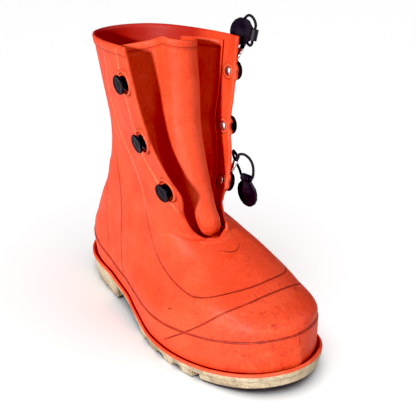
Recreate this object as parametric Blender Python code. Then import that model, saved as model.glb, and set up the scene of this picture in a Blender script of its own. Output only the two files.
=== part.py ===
"""Right hazmat boot: moulded upper, front bellows gusset, lugged outsole, spool buttons and elastic loops.

Axes: toe toward -Y, +Z up, lateral side at -X, medial side at +X. The boot stands on z = 0.
Sizes below are in millimetres and are scaled to metres when a mesh is made.
"""
import math
import bpy
import bmesh
import numpy as np
from mathutils import Matrix, Vector

for old in list(bpy.data.objects):
    bpy.data.objects.remove(old, do_unlink=True)

MM = 0.001
GAP = 0.3

# ---------------------------------------------------------------- driving sizes
SOLE_LENGTH = 320.0
HEEL_Y = SOLE_LENGTH / 2.0
TOE_X = 8.0
WALL = 2.5
BEAD_HEIGHT = 3.0
BEAD_WIDTH = 3.4
UPPER_INSET = BEAD_WIDTH + 1.0
SOLE_INSET = 0.4
HEEL_TOP = 27.5
BALL_TOP = 12.0
TOE_TOP = 28.0
TOE_SPRING = 12.0
LUG_DEPTH = 4.8
HEEL_BREAST_Y = 70.0
INSOLE_THICK = 3.0
GUSSET_THICK = 1.8

# Outline of the welt seen from above: station along the length, half-width each side.
OUTLINE = [
    # station, lateral, medial
    (0.03, 20.0, 22.0),
    (0.08, 31.0, 33.0),
    (0.15, 38.0, 39.5),
    (0.25, 42.0, 40.0),
    (0.35, 46.0, 36.5),
    (0.45, 53.0, 35.0),
    (0.55, 60.0, 41.0),
    (0.65, 61.5, 51.0),
    (0.72, 59.5, 56.5),
    (0.80, 54.0, 60.0),
    (0.88, 44.0, 58.5),
    (0.95, 28.5, 45.0),
]

# Stations across a section, from its back point (0) to its front point (1).
SPAN = (0.06, 0.25, 0.50, 0.75, 0.94)

# Closed sections of the foot below the throat. Widths are half-widths at SPAN.
FOOT = [
    # back y, back z, front x, front y, front z, mid drop, lateral widths, medial widths
    (140.0, 78.0, 9.0, -125.0, 72.0, 9.0, (23, 35, 44, 53, 42), (23, 34, 34, 43, 34.5)),
    (127.0, 101.0, 8.0, -98.0, 86.0, 7.0, (22, 34, 39, 44, 33), (22, 32, 33, 39, 29)),
    (113.0, 125.0, 5.0, -73.0, 97.0, 4.0, (20, 33, 36, 38, 25), (20, 31, 33, 34, 24)),
    (104.0, 145.0, 1.0, -51.0, 108.0, 2.0, (20, 31, 34, 35, 22), (20, 30, 30, 23, 17)),
]

# Open sections of the shaft, from the throat to the collar. Widths at SPAN and at the flap edge.
SHAFT = [
    # back y, back z, lateral edge y, z, medial edge y, z, lateral widths, medial widths
    (100.5, 150.0, -50.0, 112.0, -50.0, 112.0, (20, 30, 33, 35, 26, 12), (20, 30, 29, 21, 14.5, 11)),
    (98.5, 155.0, -46.0, 120.0, -45.5, 119.0, (20, 29, 33, 35, 29, 21), (20, 30, 29, 21, 15, 12)),
    (96.0, 163.0, -45.0, 137.0, -34.0, 134.0, (20, 28, 33, 36, 33, 29), (20, 31, 32, 28, 22, 17)),
    (94.0, 176.0, -50.0, 158.0, -30.0, 155.0, (20, 28.5, 34, 38, 36, 34), (20, 32, 34, 34, 31, 29)),
    (92.5, 195.0, -37.5, 178.0, -25.0, 180.0, (20, 31, 35, 39, 41, 40.5), (21, 33, 36, 37, 36, 35)),
    (92.5, 210.0, -23.0, 200.0, -20.0, 200.0, (21, 32, 37, 42, 44, 44), (22, 34, 38, 39, 39, 38)),
    (94.5, 235.0, -12.0, 232.0, -22.0, 232.0, (22, 35, 41, 46, 48, 48), (23, 36, 41, 43, 43, 42)),
    (98.5, 274.0, 0.0, 281.0, -22.0, 283.0, (23, 39, 47, 51, 51, 51), (24, 41, 47, 49, 49, 48)),
]

# Height of the mudguard line above the floor along the boot, from heel to toe.
GUARD_HEIGHT = [(0.0, 56.0), (0.20, 47.0), (0.40, 41.0), (0.60, 41.0), (0.80, 48.0), (1.0, 58.5)]
GUARD_BACK_Y = 153.0
GUARD_FRONT_Y = -148.5
GUARD_INSET = 5.2
GUARD_FLARE = 5.3

# Bellows roll down the throat: centre and radius of the roll, and how deep its valleys go.
ROLL = [
    # height, x, y, radius, valley depth
    (106.0, 0.0, -35.5, 10.8, 4.0),
    (120.0, -2.5, -40.0, 12.0, 6.5),
    (137.0, -5.5, -34.5, 13.0, 11.0),
    (165.0, -5.0, -21.0, 15.5, 14.0),
    (203.0, -2.5, -6.5, 17.0, 18.0),
    (240.0, 0.0, -3.0, 16.5, 21.0),
    (280.0, 1.0, 1.0, 17.0, 23.0),
]

# The collar is higher on the lateral side: rise per unit of distance across.
COLLAR_LEAN = 0.08

COLUMNS = 52
HALF = COLUMNS // 2
BANDS = (3, 2, 2, 2, 2, 1, 1, 1, 1, 1, 1, 2, 2)


# ---------------------------------------------------------------- curve helpers
def monotone(xs, ys):
    """Return a smooth curve through points that never overshoots them."""
    xs = np.array(xs, float)
    ys = np.array(ys, float)
    steps = np.diff(xs)
    shape = (len(steps),) + (1,) * (ys.ndim - 1)
    slopes = np.diff(ys, axis=0) / steps.reshape(shape)
    tangents = np.zeros_like(ys)
    tangents[0] = slopes[0]
    tangents[-1] = slopes[-1]
    for i in range(1, len(xs) - 1):
        same = slopes[i - 1] * slopes[i] > 0.0
        total = np.where(same, slopes[i - 1] + slopes[i], 1.0)
        tangents[i] = np.where(same, 2.0 * slopes[i - 1] * slopes[i] / total, 0.0)

    def value(x):
        x = min(max(x, xs[0]), xs[-1])
        i = min(int(np.searchsorted(xs, x, side="right")) - 1, len(xs) - 2)
        t = (x - xs[i]) / steps[i]
        h00 = 2 * t ** 3 - 3 * t ** 2 + 1
        h10 = t ** 3 - 2 * t ** 2 + t
        h01 = -2 * t ** 3 + 3 * t ** 2
        h11 = t ** 3 - t ** 2
        start = h00 * ys[i] + h10 * steps[i] * tangents[i]
        return start + h01 * ys[i + 1] + h11 * steps[i] * tangents[i + 1]

    return value


def smooth_step(t):
    t = min(max(t, 0.0), 1.0)
    return t * t * (3.0 - 2.0 * t)


def round_ends(t):
    return 2.0 * math.sqrt(max(t * (1.0 - t), 0.0))


def round_back(t):
    return math.sqrt(max(t * (2.0 - t), 0.0))


def resample(points, count):
    """Spread count + 1 points evenly along a polyline."""
    points = np.array(points, float)
    run = np.r_[0.0, np.cumsum(np.linalg.norm(np.diff(points, axis=0), axis=1))]
    marks = np.linspace(0.0, run[-1], count + 1)
    return np.stack([np.interp(marks, run, points[:, k]) for k in range(3)], axis=1), run[-1]


# ---------------------------------------------------------------- outline and heights
centre_at = monotone([0.0, 0.55, 0.80, 1.0], [0.0, 0.0, 4.0, TOE_X])
stations = [row[0] for row in OUTLINE]
lateral_at = monotone(stations, [(row[1] + centre_at(row[0])) / round_ends(row[0]) for row in OUTLINE])
medial_at = monotone(stations, [(row[2] - centre_at(row[0])) / round_ends(row[0]) for row in OUTLINE])


def outline_point(side, t, inset=0.0):
    """Point on the welt outline; side is -1 lateral or +1 medial, t runs heel to toe."""
    length = SOLE_LENGTH - 2.0 * inset
    y = HEEL_Y - inset - t * length
    half = lateral_at(t) if side < 0 else medial_at(t)
    half = half * round_ends(t)
    half = max(half - inset * min(1.0, half / 12.0), 0.0)
    return centre_at(t) + side * half, y


def welt_top(y):
    """Height of the top of the welt bead."""
    t = (HEEL_Y - y) / SOLE_LENGTH
    drop = (BALL_TOP - HEEL_TOP) * smooth_step((t - 0.22) / 0.36)
    rise = (TOE_TOP - BALL_TOP) * max((t - 0.62) / 0.38, 0.0) ** 1.8
    return HEEL_TOP + drop + rise


def sole_top(y):
    return welt_top(y) - BEAD_HEIGHT - GAP


def tread_height(y):
    """Height of the tread faces above the floor: flat to the ball, then the toe spring."""
    t = (HEEL_Y - y) / SOLE_LENGTH
    return TOE_SPRING * max((t - 0.72) / 0.28, 0.0) ** 1.8


guard_height = monotone([row[0] for row in GUARD_HEIGHT], [row[1] for row in GUARD_HEIGHT])


# ---------------------------------------------------------------- upper surface
def half_section(make, side):
    """Dense points of one half of a section, from its front to its back."""
    dense = []
    for i in range(161):
        t = 0.5 + 0.5 * math.cos(math.pi * i / 160.0)
        dense.append(make(side, t))
    return dense


def feather_point(side, t):
    x, y = outline_point(side, t, UPPER_INSET + WALL)
    return x, y, sole_top(y) + GAP


def guard_point(side, t):
    flare = GUARD_FLARE * smooth_step((t - 0.85) / 0.12) if side > 0 else 0.0
    x, _ = outline_point(side, t, GUARD_INSET - flare)
    y = GUARD_BACK_Y + (GUARD_FRONT_Y - GUARD_BACK_Y) * t
    return x, y, guard_height(t)


def foot_point(row):
    back_y, back_z, front_x, front_y, front_z, drop, lateral, medial = row
    scale = [round_ends(t) for t in SPAN]
    curves = {
        -1: monotone(SPAN, [w / s for w, s in zip(lateral, scale)]),
        1: monotone(SPAN, [w / s for w, s in zip(medial, scale)]),
    }

    def make(side, t):
        centre = front_x * smooth_step(t / 0.9 - 0.1)
        x = centre + side * curves[side](t) * round_ends(t)
        y = back_y + (front_y - back_y) * t
        z = back_z + (front_z - back_z) * t - drop * 4.0 * t * (1.0 - t)
        return x, y, z

    return make


def shaft_point(row):
    back_y, back_z, lateral_y, lateral_z, medial_y, medial_z, lateral, medial = row
    spots = SPAN + (1.0,)
    scale = [round_back(t) for t in spots]
    curves = {
        -1: monotone(spots, [w / s for w, s in zip(lateral, scale)]),
        1: monotone(spots, [w / s for w, s in zip(medial, scale)]),
    }
    ends = {-1: (lateral_y, lateral_z), 1: (medial_y, medial_z)}

    def make(side, t):
        end_y, end_z = ends[side]
        x = side * curves[side](t) * round_back(t)
        y = back_y + (end_y - back_y) * t
        rise = smooth_step(0.15 + 0.7 * t) - smooth_step(0.15) * (1.0 - t) + (1.0 - smooth_step(0.85)) * t
        z = back_z + (end_z - back_z) * rise - COLLAR_LEAN * x * smooth_step((back_z - 200.0) / 74.0)
        return x, y, z

    return make


makers = [feather_point, guard_point]
makers += [foot_point(row) for row in FOOT]
makers += [shaft_point(row) for row in SHAFT]
CLOSED_ROWS = 2 + len(FOOT)

section_rows = []
half_lengths = []
for maker in makers:
    lateral_half, lateral_run = resample(half_section(maker, -1), HALF)
    medial_half, medial_run = resample(half_section(maker, 1), HALF)
    section_rows.append(np.vstack([lateral_half, medial_half[::-1][1:]]))
    half_lengths.append((lateral_run, medial_run))
section_rows = np.array(section_rows)
row_marks = list(range(len(makers)))
upper_surface = monotone(row_marks, section_rows)
upper_runs = monotone(row_marks, half_lengths)


def upper_row(v):
    """One row of the inner face; rows below the throat close at the front."""
    points = np.array(upper_surface(v))
    if v <= CLOSED_ROWS - 1:
        points[0] = points[-1] = 0.5 * (points[0] + points[-1])
    return points


def upper_at(column, v):
    """Point on the inner face; column runs 0 (lateral edge) to COLUMNS (medial edge)."""
    points = upper_row(v)
    column = min(max(column, 0.0), float(COLUMNS))
    i = min(int(column), COLUMNS - 1)
    return points[i] + (points[i + 1] - points[i]) * (column - i)


def upper_normal(column, v):
    """Normal of the inner face."""
    along = upper_at(column + 0.8, v) - upper_at(column - 0.8, v)
    up = upper_at(column, v + 0.15) - upper_at(column, v - 0.15)
    normal = np.cross(up, along)
    return normal / np.linalg.norm(normal)


def behind_edge(side, distance, v):
    """Column that lies a distance behind the flap's front edge."""
    run = upper_runs(v)[0 if side < 0 else 1]
    columns = distance / run * HALF
    return columns if side < 0 else COLUMNS - columns


# ---------------------------------------------------------------- mesh helpers
def material(name, colour, rough, metal=0.0):
    mat = bpy.data.materials.new(name)
    mat.use_nodes = True
    shader = mat.node_tree.nodes["Principled BSDF"]
    shader.inputs["Base Color"].default_value = (*colour, 1.0)
    shader.inputs["Roughness"].default_value = rough
    shader.inputs["Metallic"].default_value = metal
    return mat


def add_mesh(name, verts, faces, mat, smooth=True):
    mesh = bpy.data.meshes.new(name)
    mesh.from_pydata([tuple(float(c) * MM for c in v) for v in verts], [], faces)
    work = bmesh.new()
    work.from_mesh(mesh)
    bmesh.ops.remove_doubles(work, verts=work.verts, dist=1e-6)
    bmesh.ops.recalc_face_normals(work, faces=work.faces)
    work.to_mesh(mesh)
    work.free()
    for poly in mesh.polygons:
        poly.use_smooth = smooth
    mesh.materials.append(mat)
    obj = bpy.data.objects.new(name, mesh)
    bpy.context.scene.collection.objects.link(obj)
    return obj


def thicken(rows, normals, depth):
    """Close a sheet of rows into a solid by adding an outer sheet against its inward normals."""
    high = len(rows)
    wide = len(rows[0])
    verts = [p for row in rows for p in row]
    verts += [p - n * depth for row, nrow in zip(rows, normals) for p, n in zip(row, nrow)]
    inner = high * wide
    faces = []
    for r in range(high - 1):
        for c in range(wide - 1):
            a = r * wide + c
            faces.append((a, a + 1, a + wide + 1, a + wide))
            b = a + inner
            faces.append((b, b + wide, b + wide + 1, b + 1))
    return verts, faces, inner, wide, high


def sheet_normals(grid, closed=None):
    """Unit normals of a grid of points, pointing into the boot."""
    high, wide, _ = grid.shape
    normals = np.zeros_like(grid)
    for r in range(high):
        for c in range(wide):
            if closed is not None and closed[r] and c in (0, wide - 1):
                along = grid[r, 1] - grid[r, wide - 2]
            else:
                along = grid[r, min(c + 1, wide - 1)] - grid[r, max(c - 1, 0)]
            up = grid[min(r + 1, high - 1), c] - grid[max(r - 1, 0), c]
            if closed is not None and closed[r] and c in (0, wide - 1):
                up = up * np.array([0.0, 1.0, 1.0])
            normal = np.cross(along, up)
            normals[r, c] = normal / max(np.linalg.norm(normal), 1e-9)
    return normals


def rim_faces(wide, high, inner, open_from):
    """Faces that close a thickened sheet along its lower, upper and side edges."""
    faces = []
    top = (high - 1) * wide
    for c in range(wide - 1):
        faces.append((c, c + inner, c + 1 + inner, c + 1))
        faces.append((top + c, top + c + 1, top + c + 1 + inner, top + c + inner))
    for r in range(open_from, high - 1):
        a = r * wide
        faces.append((a, a + wide, a + wide + inner, a + inner))
        b = a + wide - 1
        faces.append((b, b + inner, b + wide + inner, b + wide))
    return faces


def spun_solid(profile, sides, place, squash=1.0):
    """Turned solid from (radius, height) pairs; squash narrows it across its first axis."""
    verts = []
    faces = []
    for radius, height in profile:
        for k in range(sides):
            angle = 2.0 * math.pi * k / sides
            verts.append((squash * radius * math.cos(angle), radius * math.sin(angle), height))
    rings = len(profile)
    for r in range(rings - 1):
        for k in range(sides):
            a = r * sides + k
            b = r * sides + (k + 1) % sides
            faces.append((a, b, b + sides, a + sides))
    faces.append(tuple(range(sides))[::-1])
    faces.append(tuple((rings - 1) * sides + k for k in range(sides)))
    return [place @ Vector(v) for v in verts], faces


def frame_on(point, normal, guide=(0.0, 0.0, 1.0)):
    """Placement whose Z axis runs along a normal and whose Y axis lies nearest to a guide."""
    z = Vector(normal).normalized()
    x = Vector(guide).cross(z).normalized()
    y = z.cross(x)
    turn = Matrix((x, y, z)).transposed().to_4x4()
    return Matrix.Translation(Vector(point)) @ turn


# ---------------------------------------------------------------- materials
orange = material("boot_orange", (0.86, 0.09, 0.02), 0.45)
cream = material("sole_cream", (0.66, 0.54, 0.36), 0.7)
lining = material("insole_grey", (0.25, 0.22, 0.2), 0.9)
black = material("button_black", (0.012, 0.012, 0.014), 0.45)
steel = material("rivet_steel", (0.72, 0.72, 0.73), 0.3, 1.0)
cord_black = material("cord_black", (0.01, 0.01, 0.011), 0.8)

# ---------------------------------------------------------------- upper
levels = []
for band, steps in enumerate(BANDS):
    levels += [band + k / steps for k in range(steps)]
levels.append(float(len(BANDS)))
inside = np.array([upper_row(v) for v in levels])
closed_levels = [v <= CLOSED_ROWS - 1 for v in levels]
inward = sheet_normals(inside, closed_levels)
inward[0] *= (1.0, 1.0, 0.0)
inward[0] /= np.linalg.norm(inward[0], axis=1)[:, None]
for p, n in zip(inside[0], inward[0]):
    n[2] = (sole_top(p[1]) - sole_top(p[1] - n[1] * WALL)) / WALL
outside = inside - inward * WALL
verts, faces, inner, wide, high = thicken(inside, inward, WALL)
throat_level = levels.index(float(CLOSED_ROWS - 1))
faces += rim_faces(wide, high, inner, throat_level)
upper = add_mesh("upper", verts, faces, orange)


def facet_at(rows, column, v):
    """Point on the flat facets between the rows of one face of the upper."""
    k = max(i for i, level in enumerate(levels[:-1]) if level <= v)
    share = (v - levels[k]) / (levels[k + 1] - levels[k])
    i = min(int(column), COLUMNS - 1)
    low = rows[k, i] + (rows[k, i + 1] - rows[k, i]) * (column - i)
    high = rows[k + 1, i] + (rows[k + 1, i + 1] - rows[k + 1, i]) * (column - i)
    return low + (high - low) * share


# ---------------------------------------------------------------- gusset
roll_at = monotone([row[0] for row in ROLL], [row[1:] for row in ROLL])
GUSSET_LEVELS = (5.0, 5.5, 6.0, 6.5, 7.0, 8.0, 9.0, 10.0, 11.0, 11.5, 12.0, 12.5, 12.88)
GUSSET_COLUMNS = 28
UNDER_LEVEL = 4.5
THROAT_ATTACH = 13.0
FLAP_ATTACH = {-1: 23.5, 1: 18.0}
HUG = 8.0
GUSSET_CLEARANCE = 1.0
TURN_SINK = 1.2
ROLL_RISE = 8.5
ROLL_LEAN = 0.2
LEFT_SHALLOW = 0.5
LEFT_DIP = 6.0
RIGHT_DIP = 4.0


def attach_back(side, v):
    """Distance of the gusset's fixed edge behind the flap edge; it clears the rivets up the shaft."""
    return THROAT_ATTACH + (FLAP_ATTACH[side] - THROAT_ATTACH) * smooth_step((v - 6.5) / 1.5)


def attach_point(side, distance, v, sunk=0.0):
    depth = GUSSET_THICK + GUSSET_CLEARANCE + sunk
    column = behind_edge(side, distance, v)
    return facet_at(inside, column, v) - outward(column, v) * depth


def outward(column, v):
    normal = upper_normal(column, v)
    point = upper_at(column, v)
    facing = np.array([point[0], point[1] - 30.0, 0.0])
    return normal if float(np.dot(normal, facing)) > 0.0 else -normal


def spline(points, steps=8):
    """Smooth curve through points, as a dense polyline."""
    points = [np.array(p, float) for p in points]
    points = [points[0] * 2 - points[1]] + points + [points[-1] * 2 - points[-2]]
    dense = []
    for i in range(1, len(points) - 2):
        p0, p1, p2, p3 = points[i - 1:i + 3]
        for k in range(steps):
            t = k / steps
            a = 2 * p1 + (p2 - p0) * t + (2 * p0 - 5 * p1 + 4 * p2 - p3) * t * t
            dense.append(0.5 * (a + (3 * p1 - p0 - 3 * p2 + p3) * t ** 3))
    dense.append(points[-2])
    return dense


def bellows_row(v):
    """One row of the gusset: flap side, valley, roll, valley, flap side."""
    hug = HUG * smooth_step((v - 6.0) / 2.0)
    far = {side: attach_back(side, v) for side in (-1, 1)}
    left = [attach_point(-1, far[-1], v), attach_point(-1, far[-1] + hug, v, TURN_SINK)]
    right = [attach_point(1, far[1] + hug, v, TURN_SINK), attach_point(1, far[1], v)]
    mid_z = 0.5 * (left[0][2] + right[1][2])
    mid_z += ROLL_RISE * smooth_step((v - 9.0) / 3.7)
    risen = smooth_step((v - 9.0) / 3.7)
    lean = ROLL_LEAN * risen
    x, y, radius, depth = roll_at(mid_z)
    left_x = x - radius - 4.5
    right_x = x + radius + 4.5
    left_y = y + depth * (1.0 - LEFT_SHALLOW * risen)
    valley_left = (left_x, left_y, mid_z - lean * left_x - LEFT_DIP * risen)
    valley_right = (right_x, y + depth, mid_z - lean * right_x - RIGHT_DIP * risen)
    arc = []
    for degrees in (182.0, 212.0, 241.0, 270.0, 299.0, 328.0, 358.0):
        angle = math.radians(degrees)
        across_roll = x + radius * math.cos(angle)
        arc.append((across_roll, y + radius * math.sin(angle), mid_z - lean * across_roll))
    path = [left[0]] + ([left[1]] if hug > 1.0 else []) + [valley_left] + arc + [valley_right]
    path += ([right[0]] if hug > 1.0 else []) + [right[1]]
    return resample(spline(path), GUSSET_COLUMNS)[0]


def under_row(v):
    """Lowest row of the gusset, lying under the vamp below the throat."""
    points = []
    for k in range(-7, 8):
        side = -1 if k < 0 else 1
        column = behind_edge(side, abs(k) * 2.0, v)
        points.append(facet_at(inside, column, v) - outward(column, v) * (GUSSET_THICK + GUSSET_CLEARANCE))
    return resample(points, GUSSET_COLUMNS)[0]


gusset_grid = np.array([under_row(UNDER_LEVEL)] + [bellows_row(v) for v in GUSSET_LEVELS])
gusset_normals = sheet_normals(gusset_grid)
verts, faces, inner, wide, high = thicken(gusset_grid, gusset_normals, GUSSET_THICK)
faces += rim_faces(wide, high, inner, 0)
gusset = add_mesh("gusset", verts, faces, orange)

# ---------------------------------------------------------------- outsole
SOLE_STATIONS = 30
SOLE_ACROSS = (-1.0, 1.0)
PLATE_THICK = 4.7
SHANK_SLIM = 2.2
HEEL_TREAD = 3.0
HEEL_TAPER = 2.5
HEEL_BARS = (154.0, 134.0, 114.0, 94.0)
HEEL_BAR_LENGTH = 15.0
FORE_BARS = (-0.2, -25.7, -51.2, -76.7)
FORE_BAR_LENGTH = 17.5
FORE_BAR_RAKE = 4.5
CHEVRON = 10.0
TOE_BLOCK_Y = -92.5
STEP = 0.15


def half_width(side, y, inset):
    """Distance of the outline from the X axis at a given y."""
    t = (HEEL_Y - inset - y) / (SOLE_LENGTH - 2.0 * inset)
    return outline_point(side, min(max(t, 0.0), 1.0), inset)[0]


def across(y, u, inset):
    left = half_width(-1, y, inset)
    right = half_width(1, y, inset)
    middle = centre_at((HEEL_Y - y) / SOLE_LENGTH)
    return middle + (u * (right - middle) if u > 0 else -u * (left - middle))


def plate_bottom(y):
    """Underside of the sole plate, above the tread bars."""
    thick = PLATE_THICK - SHANK_SLIM * smooth_step(y / 30.0)
    return max(tread_height(y) + LUG_DEPTH, sole_top(y) - thick)


def block(y_list, inset, top, bottom, taper):
    """Vertices and faces of a solid that follows the outline between two profiles."""
    verts = []
    wide = len(SOLE_ACROSS)
    for y in y_list:
        verts += [(across(y, u, inset), y, top(y)) for u in SOLE_ACROSS]
    count = len(verts)
    shrink = 1.0 - taper / (HEEL_Y - inset)
    for y in y_list:
        low_y = y * shrink
        verts += [(across(low_y, u, inset + taper), low_y, bottom(y)) for u in SOLE_ACROSS]
    faces = []
    rows = len(y_list)
    for r in range(rows - 1):
        for c in range(wide - 1):
            a = r * wide + c
            faces.append((a, a + 1, a + wide + 1, a + wide))
            b = a + count
            faces.append((b, b + wide, b + wide + 1, b + 1))
        a = r * wide
        faces.append((a, a + wide, a + wide + count, a + count))
        b = a + wide - 1
        faces.append((b, b + count, b + wide + count, b + wide))
    for c in range(wide - 1):
        faces.append((c, c + count, c + 1 + count, c + 1))
        d = (rows - 1) * wide + c
        faces.append((d, d + 1, d + 1 + count, d + count))
    return verts, faces


def bar(y_back, length, rake, chevron, inset, low, high):
    """Vertices and faces of one transverse tread bar, pointing forward at its middle."""
    verts = []
    faces = []
    spread = (-1.0, -0.55, 0.0, 0.55, 1.0)
    for level, back in ((low, rake), (high, 0.0)):
        for u in spread:
            for edge in (back, length):
                y = y_back - edge + chevron * abs(u)
                verts.append((across(y, u, inset), y, level(y)))
    top = 2 * len(spread)
    for c in range(len(spread) - 1):
        a = 2 * c
        faces.append((a, a + 1, a + 3, a + 2))
        faces.append((a + top, a + top + 2, a + top + 3, a + top + 1))
        faces.append((a, a + 2, a + 2 + top, a + top))
        faces.append((a + 1, a + 1 + top, a + 3 + top, a + 3))
    e = top - 2
    faces.append((0, top, 1 + top, 1))
    faces.append((e, e + 1, e + 1 + top, e + top))
    return verts, faces


def end_spaced(start, stop, count):
    """Stations from start to stop, closer together near both ends."""
    return [start + (stop - start) * 0.5 * (1.0 - math.cos(math.pi * k / count)) for k in range(count + 1)]


def joined(pieces):
    verts = []
    faces = []
    for more_verts, more_faces in pieces:
        base = len(verts)
        verts += more_verts
        faces += [tuple(i + base for i in face) for face in more_faces]
    return verts, faces


def join_into(target, name, pieces):
    """Union a set of solids into a target with an exact Boolean."""
    tool = add_mesh(name, *joined(pieces), cream, smooth=False)
    tool.hide_render = True
    tool.display_type = "WIRE"
    union = target.modifiers.new(name, "BOOLEAN")
    union.operation = "UNION"
    union.solver = "EXACT"
    union.object = tool


sole_end = HEEL_Y - SOLE_INSET - 0.3
plate_stations = end_spaced(sole_end, -sole_end, SOLE_STATIONS)
outsole = add_mesh("outsole", *block(plate_stations, SOLE_INSET, sole_top, plate_bottom, 0.0), cream, False)

heel_stations = [y for y in end_spaced(sole_end - STEP, -sole_end, SOLE_STATIONS) if y > HEEL_BREAST_Y + 4.0]
heel_stations.append(HEEL_BREAST_Y)
heel_block = block(
    heel_stations, SOLE_INSET + STEP, lambda y: sole_top(y) - 1.0, lambda y: HEEL_TREAD, HEEL_TAPER)
join_into(outsole, "heel_block", [heel_block])

toe_stations = [TOE_BLOCK_Y, -101.0, -110.0, -119.0, -128.0, -135.0, -141.0, -146.5, -151.0, -155.0, -157.5,
                -sole_end + STEP]
toe_block = block(
    toe_stations, SOLE_INSET + STEP, lambda y: sole_top(y) - 1.0, tread_height, 1.5)
join_into(outsole, "toe_block", [toe_block])

heel_inset = SOLE_INSET + STEP + HEEL_TAPER + 0.2
heel_bars = [
    bar(y, HEEL_BAR_LENGTH, 0.0, 0.0, heel_inset, lambda y: 0.0, lambda y: HEEL_TREAD + 1.0) for y in HEEL_BARS]
fore_bars = [
    bar(y, FORE_BAR_LENGTH, FORE_BAR_RAKE, CHEVRON, SOLE_INSET + 0.5, tread_height,
        lambda y: plate_bottom(y) + 1.0)
    for y in FORE_BARS]
join_into(outsole, "tread_bars", heel_bars + fore_bars)

# ---------------------------------------------------------------- insole
INSOLE_INSET = UPPER_INSET + WALL + 1.6
insole_end = HEEL_Y - INSOLE_INSET - 0.5
insole_stations = [y for y in plate_stations if abs(y) < insole_end - 1.0]
insole_stations = [insole_end] + insole_stations + [-insole_end]
insole = add_mesh(
    "insole",
    *block(insole_stations, INSOLE_INSET, lambda y: sole_top(y) + GAP + INSOLE_THICK,
           lambda y: sole_top(y) + GAP, 0.0),
    lining,
    False,
)

# ---------------------------------------------------------------- welt
WELT_ROUND = 1.1
WELT_STATIONS = SOLE_STATIONS


def loop_points(inset, count):
    """Closed loop of outline points, lateral side from heel to toe and back on the medial side."""
    points = []
    for k in range(count + 1):
        t = 0.5 - 0.5 * math.cos(math.pi * k / count)
        points.append(outline_point(-1, t, inset))
    for k in range(count - 1, 0, -1):
        t = 0.5 - 0.5 * math.cos(math.pi * k / count)
        points.append(outline_point(1, t, inset))
    return points


welt_section = [
    # inset from the outline, height relative to the bead's top
    (0.0, -BEAD_HEIGHT),
    (0.0, -WELT_ROUND),
    (WELT_ROUND, 0.0),
    (BEAD_WIDTH - WELT_ROUND * 0.6, 0.0),
    (BEAD_WIDTH, -WELT_ROUND * 0.6),
    (BEAD_WIDTH, -BEAD_HEIGHT),
]
verts = []
for inset, rise in welt_section:
    verts += [(x, y, welt_top(y) + rise) for x, y in loop_points(inset, WELT_STATIONS)]
ring = 2 * WELT_STATIONS
rows = len(welt_section)
faces = []
for r in range(rows):
    for k in range(ring):
        a = r * ring + k
        b = r * ring + (k + 1) % ring
        shift = ring if r < rows - 1 else -ring * (rows - 1)
        faces.append((a, b, b + shift, a + shift))
welt = add_mesh("welt", verts, faces, orange)

# ---------------------------------------------------------------- spool buttons and rivets
BUTTON_SIDES = 12
BASE_RADIUS = 6.8
SEAT_CLEARANCE = 0.4
BUTTON_BASE = 2.0
BUTTON_NECK = 3.2
BUTTON_HEAD = 2.0
NECK_RADIUS = 3.5
RIVET_SIDES = 8
RIVET_RADIUS = 1.7
HOLE_RADIUS = 2.2
RIVET_HEAD_RADIUS = 4.4

BUTTONS = [
    # name, side, level up the flap, distance behind the flap's edge
    ("lateral_top", -1, 12.38, 13.0),
    ("lateral_mid", -1, 11.03, 12.5),
    ("lateral_low", -1, 9.15, 13.5),
    ("medial_top", 1, 12.34, 9.5),
    ("medial_mid", 1, 10.72, 9.5),
    ("medial_low", 1, 8.52, 11.0),
]

button_profile = [
    (BASE_RADIUS, 0.0),
    (BASE_RADIUS, BUTTON_BASE),
    (NECK_RADIUS, BUTTON_BASE),
    (NECK_RADIUS, BUTTON_BASE + BUTTON_NECK),
    (8.8, BUTTON_BASE + BUTTON_NECK),
    (8.8, BUTTON_BASE + BUTTON_NECK + BUTTON_HEAD - 0.8),
    (7.6, BUTTON_BASE + BUTTON_NECK + BUTTON_HEAD),
]
hole_profile = [(HOLE_RADIUS, 3.0), (HOLE_RADIUS, -WALL - 2.0)]


def seat_on(column, level, radius):
    """Placement on the flap, and how far the flap rises and dips under a disc of a given radius."""
    reach = [k / 10.0 for k in range(-18, 19)]
    spots = [facet_at(outside, min(max(column + c, 0.0), COLUMNS - 0.01), level + 0.3 * r) for c in reach for r in reach]
    middle = facet_at(outside, column, level)
    near = np.array([p for p in spots if np.linalg.norm(p - middle) < radius * 1.05])
    normal = np.linalg.svd(near - near.mean(axis=0))[2][2]
    if float(np.dot(normal, outward(column, level))) < 0.0:
        normal = -normal
    heights = (near - middle) @ normal
    return frame_on(middle, normal), float(heights.max()), float(heights.min())


button_places = {}
holes = []
for name, side, level, distance in BUTTONS:
    column = behind_edge(side, distance, level)
    place, rise, dip = seat_on(column, level, BASE_RADIUS)
    seat = place @ Matrix.Translation((0.0, 0.0, rise + SEAT_CLEARANCE))
    button_places[name] = seat
    head_top = seat_on(column, level, RIVET_HEAD_RADIUS)[2] - WALL - SEAT_CLEARANCE
    rivet_profile = [
        (RIVET_RADIUS, rise + SEAT_CLEARANCE - GAP),
        (RIVET_RADIUS, head_top),
        (RIVET_HEAD_RADIUS, head_top),
        (RIVET_HEAD_RADIUS, head_top - 0.6),
        (RIVET_HEAD_RADIUS * 0.6, head_top - 1.5),
    ]
    add_mesh("button_" + name, *spun_solid(button_profile, BUTTON_SIDES, seat), black)
    add_mesh("rivet_" + name, *spun_solid(rivet_profile, RIVET_SIDES, place), steel)
    holes.append(spun_solid(hole_profile, RIVET_SIDES, place))

hole_tool = add_mesh("rivet_holes", *joined(holes), orange, False)
hole_tool.hide_render = True
hole_tool.display_type = "WIRE"
cut = upper.modifiers.new("rivet_holes", "BOOLEAN")
cut.operation = "DIFFERENCE"
cut.solver = "EXACT"
cut.object = hole_tool

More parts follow.
